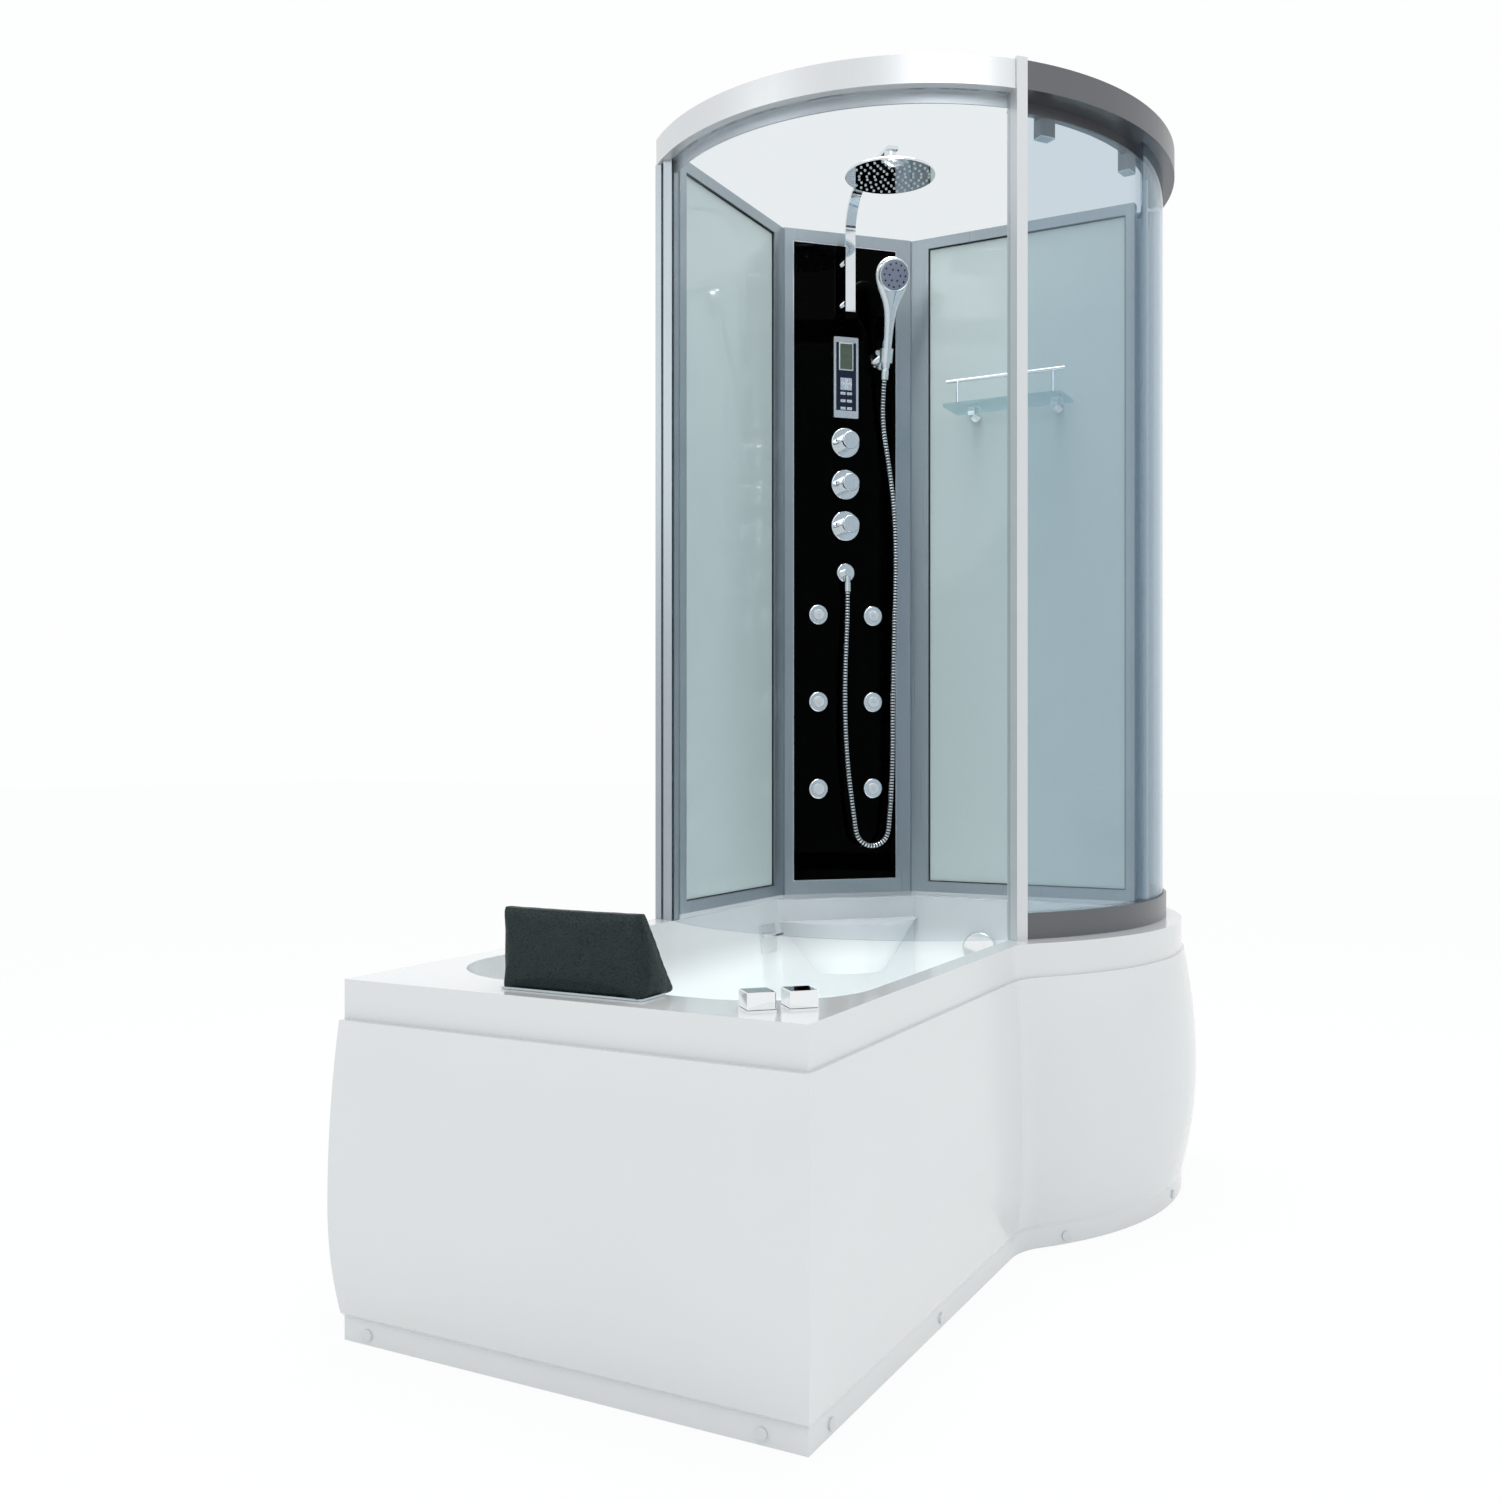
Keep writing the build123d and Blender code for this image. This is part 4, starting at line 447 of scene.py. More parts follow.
@dataclass(frozen=True)
class Leather(Finish):
    """Coated upholstery leather: creased grain, painted darker in the creases as shade, a dull sheen on top."""

    name: str = "Dark green leather"
    top: Colour = srgb(29, 50, 49)
    # Painted shade: the darker colour laid in the creases and between the pebbles.
    crease: Colour = srgb(8, 19, 20)

    def shader(self, graph: Graph) -> bpy.types.Node:
        """Pebbles between crossed creases, with longer wrinkles over them."""
        warp = graph.node("ShaderNodeTexNoise", None,
                          {"Vector": graph.stretched((1, 1, 1)), "Scale": 60.0, "Detail": 3.0}).outputs["Color"]
        place = graph.node("ShaderNodeMix", {"data_type": "RGBA", "blend_type": "ADD"},
                           {0: 0.012, 6: graph.stretched((1, 1, 1)), 7: warp}).outputs[2]
        cells = graph.value("ShaderNodeTexVoronoi", {"feature": "DISTANCE_TO_EDGE"},
                            {"Vector": place, "Scale": 210.0})
        pebble = graph.value("ShaderNodeMapRange", {"interpolation_type": "SMOOTHSTEP"},
                             {"Value": cells, "From Min": 0.0, "From Max": 0.16})
        wrinkle = graph.value("ShaderNodeTexNoise", {"noise_type": "RIDGED_MULTIFRACTAL"},
                              {"Vector": place, "Scale": 42.0, "Detail": 3.0})
        height = pebble * 0.6 + wrinkle * 0.4
        return graph.node("ShaderNodeBsdfPrincipled", None, {
            # Painted shade: low places in the relief take the darker crease colour.
            "Base Color": graph.mix(height, self.crease, self.top),
            "Roughness": 0.6 - pebble * 0.14,
            "Specular IOR Level": 0.28,
            "Normal": graph.bump(height, 0.55, 0.0012),
        })


@dataclass(frozen=True)
class LiquidCrystal(Finish):
    """The unlit display: olive, with the faint ghost of its segments."""

    name: str = "Display"
    colour: Colour = srgb(84, 97, 78)
    ghost: Colour = srgb(68, 80, 64)
    pitch: float = 0.0024

    def shader(self, graph: Graph) -> bpy.types.Node:
        """A pale grid a little darker than the ground."""
        across, _, height = graph.axes()
        waves = (across * (2 * math.pi / self.pitch)).sine() * (height * (2 * math.pi / self.pitch)).sine()
        return graph.node("ShaderNodeBsdfPrincipled", None, {
            "Base Color": graph.mix(waves.above(0.2) * 0.35, self.colour, self.ghost),
            "Roughness": waves * 0.01 + 0.2,
        })


@dataclass(frozen=True)
class StudioFloor(Finish):
    """Pale studio floor that reads as white and keeps the object's shadow."""

    name: str = "Pale floor"
    colour: Colour = (0.93, 0.93, 0.93)
    white: float = 0.93

    def shader(self, graph: Graph) -> bpy.types.Node:
        """A matt surface, mixed with plain white where the camera or a mirror sees it."""
        matt = graph.node("ShaderNodeBsdfPrincipled", None, {
            "Base Color": graph.mix(graph.grain(2.0), self.colour, tuple(0.99 * c for c in self.colour)),
            "Roughness": 0.9,
            "Specular IOR Level": 0.1,
        })
        plain = graph.node("ShaderNodeEmission", None, {"Color": (0.985, 0.99, 0.99), "Strength": 1.0})
        seen = seen_rays(graph) * self.white
        return graph.node("ShaderNodeMixShader", None, {0: seen, 1: matt.outputs[0], 2: plain.outputs[0]})


def seen_rays(graph: Graph) -> Value:
    """1 for rays from the camera, a mirror or glass, which see the plain background."""
    path = graph.node("ShaderNodeLightPath")
    camera, glossy, through = (Value(graph, path.outputs[name])
                               for name in ("Is Camera Ray", "Is Glossy Ray", "Is Transmission Ray"))
    return camera.largest(glossy).largest(through)


class Look(Enum):
    """Every finish on the bath and its cabin."""

    ACRYLIC = Acrylic()
    # The aprons take no painted basin light: their brim lies below them.
    APRON = Acrylic("Apron acrylic", brim=0.0, fade=0.001)
    CAP = Moulding("Cap plastic", srgb(206, 210, 212), 0.22, 0.03)
    STEEL = Galvanised()
    RUBBER = Moulding("Black rubber", srgb(34, 36, 38), 0.6, 0.2)
    LEATHER = Leather()
    CHROME = Chrome()
    SATIN_CHROME = Chrome("Satin chrome", (0.74, 0.76, 0.78), 0.22)
    HOSE_METAL = RibbedMetal()
    PUMP = Moulding("Pump plastic", srgb(58, 62, 68), 0.4, 0.15)
    GREY_ALUMINIUM = Aluminium()
    LIGHT_ALUMINIUM = Aluminium("Light aluminium", srgb(214, 216, 217), srgb(203, 206, 208), 0.34, 0.6)
    # Painted shade: a darker copy of the rail aluminium, for the shade that falls on the door's rails.
    SHADED_ALUMINIUM = Aluminium("Shaded rail aluminium", srgb(112, 114, 118), srgb(97, 99, 103), 0.3, 0.8)
    WALL_GLASS = BackedGlass()
    BLACK_GLASS = BackedGlass("Black column glass", (0.0, 0.0, 0.0), (0.0004, 0.0004, 0.0004), 0.02, 0.03)
    CLEAR_GLASS = ClearGlass()
    DOOR_GLASS = ClearGlass("Tinted door glass", (0.79, 0.832, 0.866), 0.85, 0.09)
    SHELF_GLASS = ClearGlass("Shelf glass", (0.86, 0.93, 0.94), 1.0, 0.05)
    CLEAR_TRIM = Moulding("Clear seal", srgb(196, 208, 212), 0.25, 0.02)
    DOOR_TRIM = DoorTrim()
    WHITE_PLASTIC = Moulding("White plastic", srgb(226, 228, 230), 0.3, 0.04)
    BRASS = Aluminium("Turned brass", srgb(190, 156, 92), srgb(168, 134, 74), 0.3, 1.0, (3.0, 3.0, 900.0))
    NAVY = BackedGlass("Navy panel face", srgb(22, 31, 56), srgb(18, 26, 48), 0.12, 0.3)
    DISPLAY = LiquidCrystal()
    KEY = Moulding("Key plastic", srgb(214, 222, 232), 0.3, 0.03)
    KEY_PRINT = Moulding("Key print", srgb(86, 96, 112), 0.4, 0.03)
    FACE_GREY = Moulding("Spray face", srgb(140, 146, 164), 0.3, 0.04)
    NOZZLE = Moulding("Silicone nozzle", srgb(236, 238, 240), 0.45, 0.03)
    FLOOR = StudioFloor()

    def dress(self, target: bpy.types.Object) -> bpy.types.Object:
        """Gives an object this finish alone."""
        target.data.materials.clear()
        target.data.materials.append(self.value.material())
        return target


NODE_LOOKS = {
    Look.ACRYLIC: ("bath_shell",),
    Look.APRON: ("end_apron", "side_apron"),
    Look.CAP: ("apron_screw_caps",),
    Look.STEEL: ("support_frame",),
    Look.RUBBER: ("levelling_feet", "roller_left", "roller_right"),
    Look.CHROME: ("tap_bases", "bath_spout", "overflow_knob", "waste_set", "drain_plug", "whirl_jets",
                  "column_escutcheons", "shower_arm", "rain_head", "handset_holder", "hose_outlet",
                  "shelf_rail", "hot_tap_knob", "cold_tap_knob", "thermostat_knob", "diverter_knob",
                  "flow_knob"),
    Look.PUMP: ("whirl_pump",),
    Look.GREY_ALUMINIUM: ("left_wall_frame", "right_wall_frame", "column_frame"),
    Look.LIGHT_ALUMINIUM: ("front_post", "screen_top_rail"),
    # Painted shade: the door's rails take the darker copy of the rail aluminium.
    Look.SHADED_ALUMINIUM: ("door_top_rail", "door_bottom_rail"),
    Look.WALL_GLASS: ("left_wall_glass", "right_wall_glass"),
    Look.BLACK_GLASS: ("column_glass",),
    Look.CLEAR_GLASS: ("screen_glass",),
    Look.DOOR_GLASS: ("fixed_glass", "door_glass"),
    Look.SHELF_GLASS: ("shelf_glass",),
    Look.DOOR_TRIM: ("door_trims",),
    Look.BRASS: ("valve_block",),
    Look.SATIN_CHROME: ("control_panel",),
    Look.DISPLAY: ("display_window",),
    Look.KEY: ("arrow_pad", "key_light", "key_radio", "key_fan", "key_lamp", "key_massage", "key_power"),
    Look.WHITE_PLASTIC: tuple(f"nozzle_{side}_{row}" for side in ("left", "right") for row in (1, 2, 3)),
}


def at(x: float, y: float, z: float) -> Vector:
    """A point of the bath's own coordinates in the frame."""
    return BATH_CORNER + Vector((x, y, z))


@dataclass(frozen=True)
class Column:
    """The shower column's face: across it, up it and out of it."""

    middle: Vector = BATH_CORNER + Vector((1.5175, 0.6385, 0.0))
    across: Vector = Vector((1, -1, 0)).normalized()
    out: Vector = Vector((-1, -1, 0)).normalized()

    def point(self, across: float, height: float, out: float) -> Vector:
        """A point by its place across the face, its height and how far out it lies."""
        return self.middle + self.across * across + self.out * out + Vector((0, 0, height))

    def place(self, across: float, height: float, out: float) -> Matrix:
        """A matrix that sets a flat shape on the face, its Z axis pointing out."""
        turn = Matrix((self.across, Vector((0, 0, 1)), self.out)).transposed()
        return Matrix.Translation(self.point(across, height, out)) @ turn.to_4x4()


COLUMN = Column()


def keep_mesh(name: str, mesh: bpy.types.Mesh, look: Look, smooth: float | None = 35.0) -> bpy.types.Object:
    """Puts a mesh in the scene, its place in its vertices.

    Args:
        name: the piece's name.
        mesh: the finished mesh.
        look: its finish.
        smooth: the angle in degrees up to which faces shade smoothly, or None for flat faces.

    Returns:
        The new object.
    """
    made = bpy.data.objects.new(name, mesh)
    bpy.context.scene.collection.objects.link(made)
    if smooth is not None:
        mesh.shade_smooth()
        mesh.set_sharp_from_angle(angle=math.radians(smooth))
    return look.dress(made)


def from_bmesh(name: str, build: bmesh.types.BMesh, look: Look, smooth: float | None = 35.0,
               place: Matrix | None = None) -> bpy.types.Object:
    """Turns a bmesh into a placed piece with its faces pointing outwards."""
    bmesh.ops.remove_doubles(build, verts=build.verts, dist=1e-6)
    bmesh.ops.recalc_face_normals(build, faces=build.faces)
    if place is not None:
        build.transform(place)
    mesh = bpy.data.meshes.new(name)
    build.to_mesh(mesh)
    build.free()
    return keep_mesh(name, mesh, look, smooth)


def loft(rings: Sequence[Sequence[Vector]], closed: bool = True) -> bmesh.types.BMesh:
    """A skin over rings of points, with flat ends.

    Args:
        rings: loops of as many points each, in order.
        closed: whether the first and last loops are filled.

    Returns:
        The skin.
    """
    build = bmesh.new()
    loops = [[build.verts.new(point) for point in ring] for ring in rings]
    for low, high in zip(loops, loops[1:]):
        for i in range(len(low)):
            j = (i + 1) % len(low)
            build.faces.new((low[i], low[j], high[j], high[i]))
    if closed:
        build.faces.new(reversed(loops[0]))
        build.faces.new(loops[-1])
    return build


def lathe(profile: Sequence[tuple[float, float]], segments: int = 48) -> bmesh.types.BMesh:
    """A turned shape from pairs of radius and height, its axis on Z."""
    rings = []
    for radius, height in profile:
        turn = [2 * math.pi * i / segments for i in range(segments)]
        rings.append([Vector((radius * math.cos(t), radius * math.sin(t), height)) for t in turn])
    return loft(rings)


def boxed(size: Sequence[float], bevel: float = 0.0, segments: int = 2) -> bmesh.types.BMesh:
    """A box on its middle with rounded edges."""
    build = bmesh.new()
    bmesh.ops.create_cube(build, size=1.0)
    bmesh.ops.scale(build, vec=size, verts=build.verts)
    if bevel:
        bmesh.ops.bevel(build, geom=list(build.edges), offset=bevel, segments=segments, affect="EDGES",
                        profile=0.5)
    return build


class Procedure:
    """A Geometry Nodes tree with named inputs."""

    def __init__(self, name: str, inputs: dict[str, tuple[str, object]]) -> None:
        """Makes the tree's sockets.

        Args:
            name: the tree's name.
            inputs: socket type and default by name.
        """
        self.tree = bpy.data.node_groups.new(name, "GeometryNodeTree")
        self.tree.interface.new_socket("Geometry", in_out="INPUT", socket_type="NodeSocketGeometry")
        self.ids: dict[str, str] = {}
        for label, (kind, default) in inputs.items():
            socket = self.tree.interface.new_socket(label, in_out="INPUT", socket_type=kind)
            if default is not None:
                socket.default_value = default
            self.ids[label] = socket.identifier
        self.tree.interface.new_socket("Geometry", in_out="OUTPUT", socket_type="NodeSocketGeometry")
        self.start = self.tree.nodes.new("NodeGroupInput")

    def node(self, kind: str, settings: dict | None = None, inputs: dict | None = None) -> bpy.types.Node:
        """Adds a node; an input given as a word takes the tree's input of that name."""
        made = self.tree.nodes.new(kind)
        for name, value in (settings or {}).items():
            setattr(made, name, value)
        for key, value in (inputs or {}).items():
            if isinstance(value, str):
                value = self.start.outputs[value]
            if isinstance(value, bpy.types.Node):
                value = value.outputs[0]
            if isinstance(value, bpy.types.NodeSocket):
                self.tree.links.new(value, made.inputs[key])
            else:
                made.inputs[key].default_value = value
        return made

    def word(self, text: str) -> bpy.types.Node:
        """Adds a fixed word, such as an attribute's name."""
        return self.node("FunctionNodeInputString", {"string": text})

    def math(self, operation: str, first: object, second: object = 0.0) -> bpy.types.Node:
        """Adds a Math node."""
        return self.node("ShaderNodeMath", {"operation": operation}, {0: first, 1: second})

    def end(self, shape: bpy.types.Node) -> None:
        """Realizes the instances, sets the material and closes the tree."""
        real = self.node("GeometryNodeRealizeInstances", None, {0: shape})
        dressed = self.node("GeometryNodeSetMaterial", None, {0: real, "Material": "Material"})
        out = self.tree.nodes.new("NodeGroupOutput")
        self.tree.links.new(dressed.outputs[0], out.inputs[0])

    def make(self, name: str, source: bpy.types.ID, values: dict, look: Look, place: Matrix | None = None,
             smooth: float | None = 40.0) -> bpy.types.Object:
        """Runs the tree on a mesh and keeps the result as a plain piece.

        Args:
            name: the piece's name.
            source: the mesh that the tree starts from.
            values: the tree's inputs by name.
            look: the finish.
            place: where the result goes.
            smooth: the angle up to which faces shade smoothly.

        Returns:
            The new piece.
        """
        carrier = bpy.data.objects.new(name + "_source", source)
        bpy.context.scene.collection.objects.link(carrier)
        modifier = carrier.modifiers.new("Build", "NODES")
        modifier.node_group = self.tree
        for label, value in {**values, "Material": look.value.material()}.items():
            modifier[self.ids[label]] = value
        graph = bpy.context.evaluated_depsgraph_get()
        mesh = bpy.data.meshes.new_from_object(carrier.evaluated_get(graph), depsgraph=graph)
        carrier.modifiers.remove(modifier)
        bpy.data.objects.remove(carrier)
        mesh.name = name
        if place is not None:
            mesh.transform(place)
        return keep_mesh(name, mesh, look, smooth)


MATERIAL_INPUT = {"Material": ("NodeSocketMaterial", None)}


def points_mesh(points: Iterable[Sequence[float]], joined: bool = False, ring: bool = False) -> bpy.types.Mesh:
    """Loose points, or points joined in a line, as a mesh."""
    points = list(points)
    edges = [(i, i + 1) for i in range(len(points) - 1)] if joined else []
    if ring:
        edges.append((len(points) - 1, 0))
    mesh = bpy.data.meshes.new("points")
    mesh.from_pydata([tuple(p) for p in points], edges, [])
    return mesh


def ribbed_tube() -> Procedure:
    """A tree that sweeps a ribbed tube along a line of edges."""
    made = Procedure("Ribbed tube", {
        "Radius": ("NodeSocketFloat", 0.006),
        "Groove": ("NodeSocketFloat", 0.001),
        "Ribs": ("NodeSocketInt", 200),
        "Sides": ("NodeSocketInt", 14),
        **MATERIAL_INPUT,
    })
    steps = 6
    line = made.node("GeometryNodeMeshToCurve", None, {0: "Geometry"})
    count = made.math("MULTIPLY_ADD", "Ribs", float(steps))
    count.inputs[2].default_value = 1.0
    even = made.node("GeometryNodeResampleCurve", {"mode": "COUNT"}, {0: line, "Count": count})
    index = made.node("GeometryNodeInputIndex")
    phase = made.math("DIVIDE", made.math("MODULO", index, float(steps)), float(steps))
    wave = made.math("SINE", made.math("MULTIPLY", phase, math.pi))
    round_top = made.math("POWER", wave, 0.45)
    depth = made.math("SUBTRACT", 1.0, round_top)
    radius = made.math("SUBTRACT", "Radius", made.math("MULTIPLY", depth, "Groove"))
    marked = made.node("GeometryNodeStoreNamedAttribute", {"data_type": "FLOAT", "domain": "POINT"},
                       {"Geometry": even, "Name": made.word("groove"), "Value": depth})
    profile = made.node("GeometryNodeCurvePrimitiveCircle", None, {"Resolution": "Sides", "Radius": 1.0})
    made.end(made.node("GeometryNodeCurveToMesh", None,
                       {"Curve": marked, "Profile Curve": profile, "Scale": radius, "Fill Caps": True}))
    return made


def strip_sweep() -> Procedure:
    """A tree that sweeps a flat strip along a line of edges."""
    made = Procedure("Strip along a line", {
        "Width": ("NodeSocketFloat", 0.004),
        "Thickness": ("NodeSocketFloat", 0.002),
        **MATERIAL_INPUT,
    })
    line = made.node("GeometryNodeMeshToCurve", None, {0: "Geometry"})
    profile = made.node("GeometryNodeCurvePrimitiveQuadrilateral", None,
                        {"Width": "Width", "Height": "Thickness"})
    made.end(made.node("GeometryNodeCurveToMesh", None,
                       {"Curve": line, "Profile Curve": profile, "Fill Caps": True}))
    return made


def nubs_on_rings(name: str, counts: Sequence[int]) -> Procedure:
    """A tree that sets small cones on concentric rings.

    Args:
        name: the tree's name.
        counts: how many cones each ring has, from the middle outwards.

    Returns:
        The tree, whose inputs set the rings' spacing and the cones' size.
    """
    made = Procedure(name, {
        "First ring": ("NodeSocketFloat", 0.012),
        "Ring step": ("NodeSocketFloat", 0.012),
        "Foot radius": ("NodeSocketFloat", 0.002),
        "Tip radius": ("NodeSocketFloat", 0.0012),
        "Height": ("NodeSocketFloat", 0.002),
        **MATERIAL_INPUT,
    })
    joined = made.tree.nodes.new("GeometryNodeJoinGeometry")
    for ring, count in enumerate(counts):
        reach = made.math("MULTIPLY_ADD", "Ring step", float(ring))
        made.tree.links.new(made.start.outputs["First ring"], reach.inputs[2])
        circle = made.node("GeometryNodeMeshCircle", None, {"Vertices": count, "Radius": reach})
        made.tree.links.new(circle.outputs[0], joined.inputs[0])
    nub = made.node("GeometryNodeMeshCone", None, {
        "Vertices": 12, "Radius Top": "Tip radius", "Radius Bottom": "Foot radius", "Depth": "Height"})
    made.end(made.node("GeometryNodeInstanceOnPoints", None, {"Points": joined, "Instance": nub}))
    return made


@dataclass
class Studio:
    """Camera, lamps, floor and background."""

    camera_at: Vector = BATH_CORNER + Vector((-1.699, -0.824, 0.9153))
    camera_ahead: Vector = Vector((0.8815, 0.4721, 0.0))
    lens: float = 35.0
    floor_size: float = 60.0
    ambient: float = 0.95
    ambient_colour: Colour = (0.97, 0.985, 1.0)

    def build(self) -> None:
        """Makes everything that isn't part of the object."""
        bpy.context.scene.view_settings.view_transform = "Standard"
        self.camera()
        self.world()
        self.lamp("Key lamp", (-2.6, -2.4, 3.4), 2.4, 28.0)
        self.lamp("Side lamp", (-3.0, 2.2, 2.6), 2.2, 13.0)
        self.lamp("Top lamp", (0.4, 0.2, 4.2), 2.6, 60.0)
        self.lamp("Cabin lamp", (0.5, 0.12, 3.6), 0.9, 4.6, (0.5, 0.12, 0.5), 35.0)
        build = bmesh.new()
        bmesh.ops.create_grid(build, x_segments=8, y_segments=8, size=self.floor_size / 2)
        floor = from_bmesh("Floor", build, Look.FLOOR, None)

    def camera(self) -> None:
        """The camera at the photograph's place, level."""
        data = bpy.data.cameras.new("Camera")
        data.lens = self.lens
        data.sensor_width = 36.0
        camera = bpy.data.objects.new("Camera", data)
        camera.location = self.camera_at
        camera.rotation_euler = self.camera_ahead.to_track_quat("-Z", "Y").to_euler()
        bpy.context.scene.collection.objects.link(camera)
        bpy.context.scene.camera = camera

    def world(self) -> None:
        """An even pale surround: plain white where it is seen, dimmer as light."""
        world = bpy.data.worlds.new("Studio")
        bpy.context.scene.world = world
        graph = Graph(world)
        light = graph.node("ShaderNodeBackground", None,
                           {"Color": self.ambient_colour, "Strength": self.ambient})
        seen = graph.node("ShaderNodeBackground", None, {"Color": (0.985, 0.99, 0.99), "Strength": 1.0})
        graph.finish(graph.node("ShaderNodeMixShader", None,
                                {0: seen_rays(graph), 1: light.outputs[0], 2: seen.outputs[0]}))

    def lamp(self, name: str, place: Sequence[float], size: float, power: float,
             aimed: Sequence[float] = (0.1, 0.0, 0.8), spread: float = 180.0) -> None:
        """A large soft lamp, aimed at the cabin.

        Args:
            name: the lamp's name.
            place: where it stands.
            size: its diameter.
            power: its power in watts.
            aimed: the point that it faces.
            spread: the full angle of its beam in degrees.
        """
        data = bpy.data.lights.new(name, "AREA")
        data.shape = "DISK"
        data.size = size
        data.energy = power
        data.spread = math.radians(spread)
        lamp = bpy.data.objects.new(name, data)
        lamp.location = place
        aim = Vector(aimed) - lamp.location
        lamp.rotation_euler = aim.to_track_quat("-Z", "Y").to_euler()
        lamp.visible_camera = False
        bpy.context.scene.collection.objects.link(lamp)


@dataclass
class ShowerHose:
    """The ribbed metal hose between the wall outlet and the handset."""

    radius: float = 0.006
    bore_drop: float = 0.0011
    ribs: int = 250
    length: float = 1.787
    tail: float = 0.048
    route: tuple = (
        (0, 18, 1296), (0, 18, 1240), (-5, 20, 1155), (-9, 23, 1050), (-8, 25, 960),
        (-3, 27, 880), (4, 29, 812), (12, 31, 752), (18, 32, 706), (42, 33, 685),
        (74, 33, 685), (98, 33, 706), (103, 32, 756), (108, 31, 815), (111, 30, 890), (112, 29, 980),
        (114, 28, 1085), (117, 27, 1200), (121, 26, 1310), (122, 25, 1410), (118, 24, 1500),
        (109, 22, 1580), (99, 20, 1645), (91, 19, 1703),
    )

    def points(self) -> list[Vector]:
        """The route's points in the frame, its end square to the handset's foot."""
        found = [COLUMN.point(u / 1000, z / 1000, n / 1000) for u, n, z in self.route]
        foot, along = HANDSET.foot(), HANDSET.along()
        return found + [foot - along * self.tail, foot]

    def line(self) -> list[Vector]:
        """Points read from the smooth line through the route."""
        curve = bpy.data.curves.new("hose_line", "CURVE")
        curve.dimensions = "3D"
        curve.resolution_u = 10
        spline = curve.splines.new("NURBS")
        route = self.points()
        spline.points.add(len(route) - 1)
        for target, point in zip(spline.points, route):
            target.co = (*point, 1.0)
        spline.order_u = 3
        spline.use_endpoint_u = True
        carrier = bpy.data.objects.new("hose_line", curve)
        bpy.context.scene.collection.objects.link(carrier)
        graph = bpy.context.evaluated_depsgraph_get()
        mesh = bpy.data.meshes.new_from_object(carrier.evaluated_get(graph), depsgraph=graph)
        found = [vertex.co.copy() for vertex in mesh.vertices]
        bpy.data.objects.remove(carrier)
        return found

    def build(self) -> list[bpy.types.Object]:
        line = self.line()
        hose = ribbed_tube().make("hose_tube", points_mesh(line, joined=True), {
            "Radius": self.radius, "Groove": self.bore_drop, "Ribs": self.ribs, "Sides": 14,
        }, Look.HOSE_METAL, smooth=50.0)
        start = COLUMN.point(0.098, 0.706, 0.033)
        rise = Vector((0, 0, 1)) + COLUMN.across * 7
        rise.normalize()
        start + rise * (HANDSET.foot() - start).dot(rise)
        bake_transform(hose)
        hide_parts("shower_hose")
        return [hose]


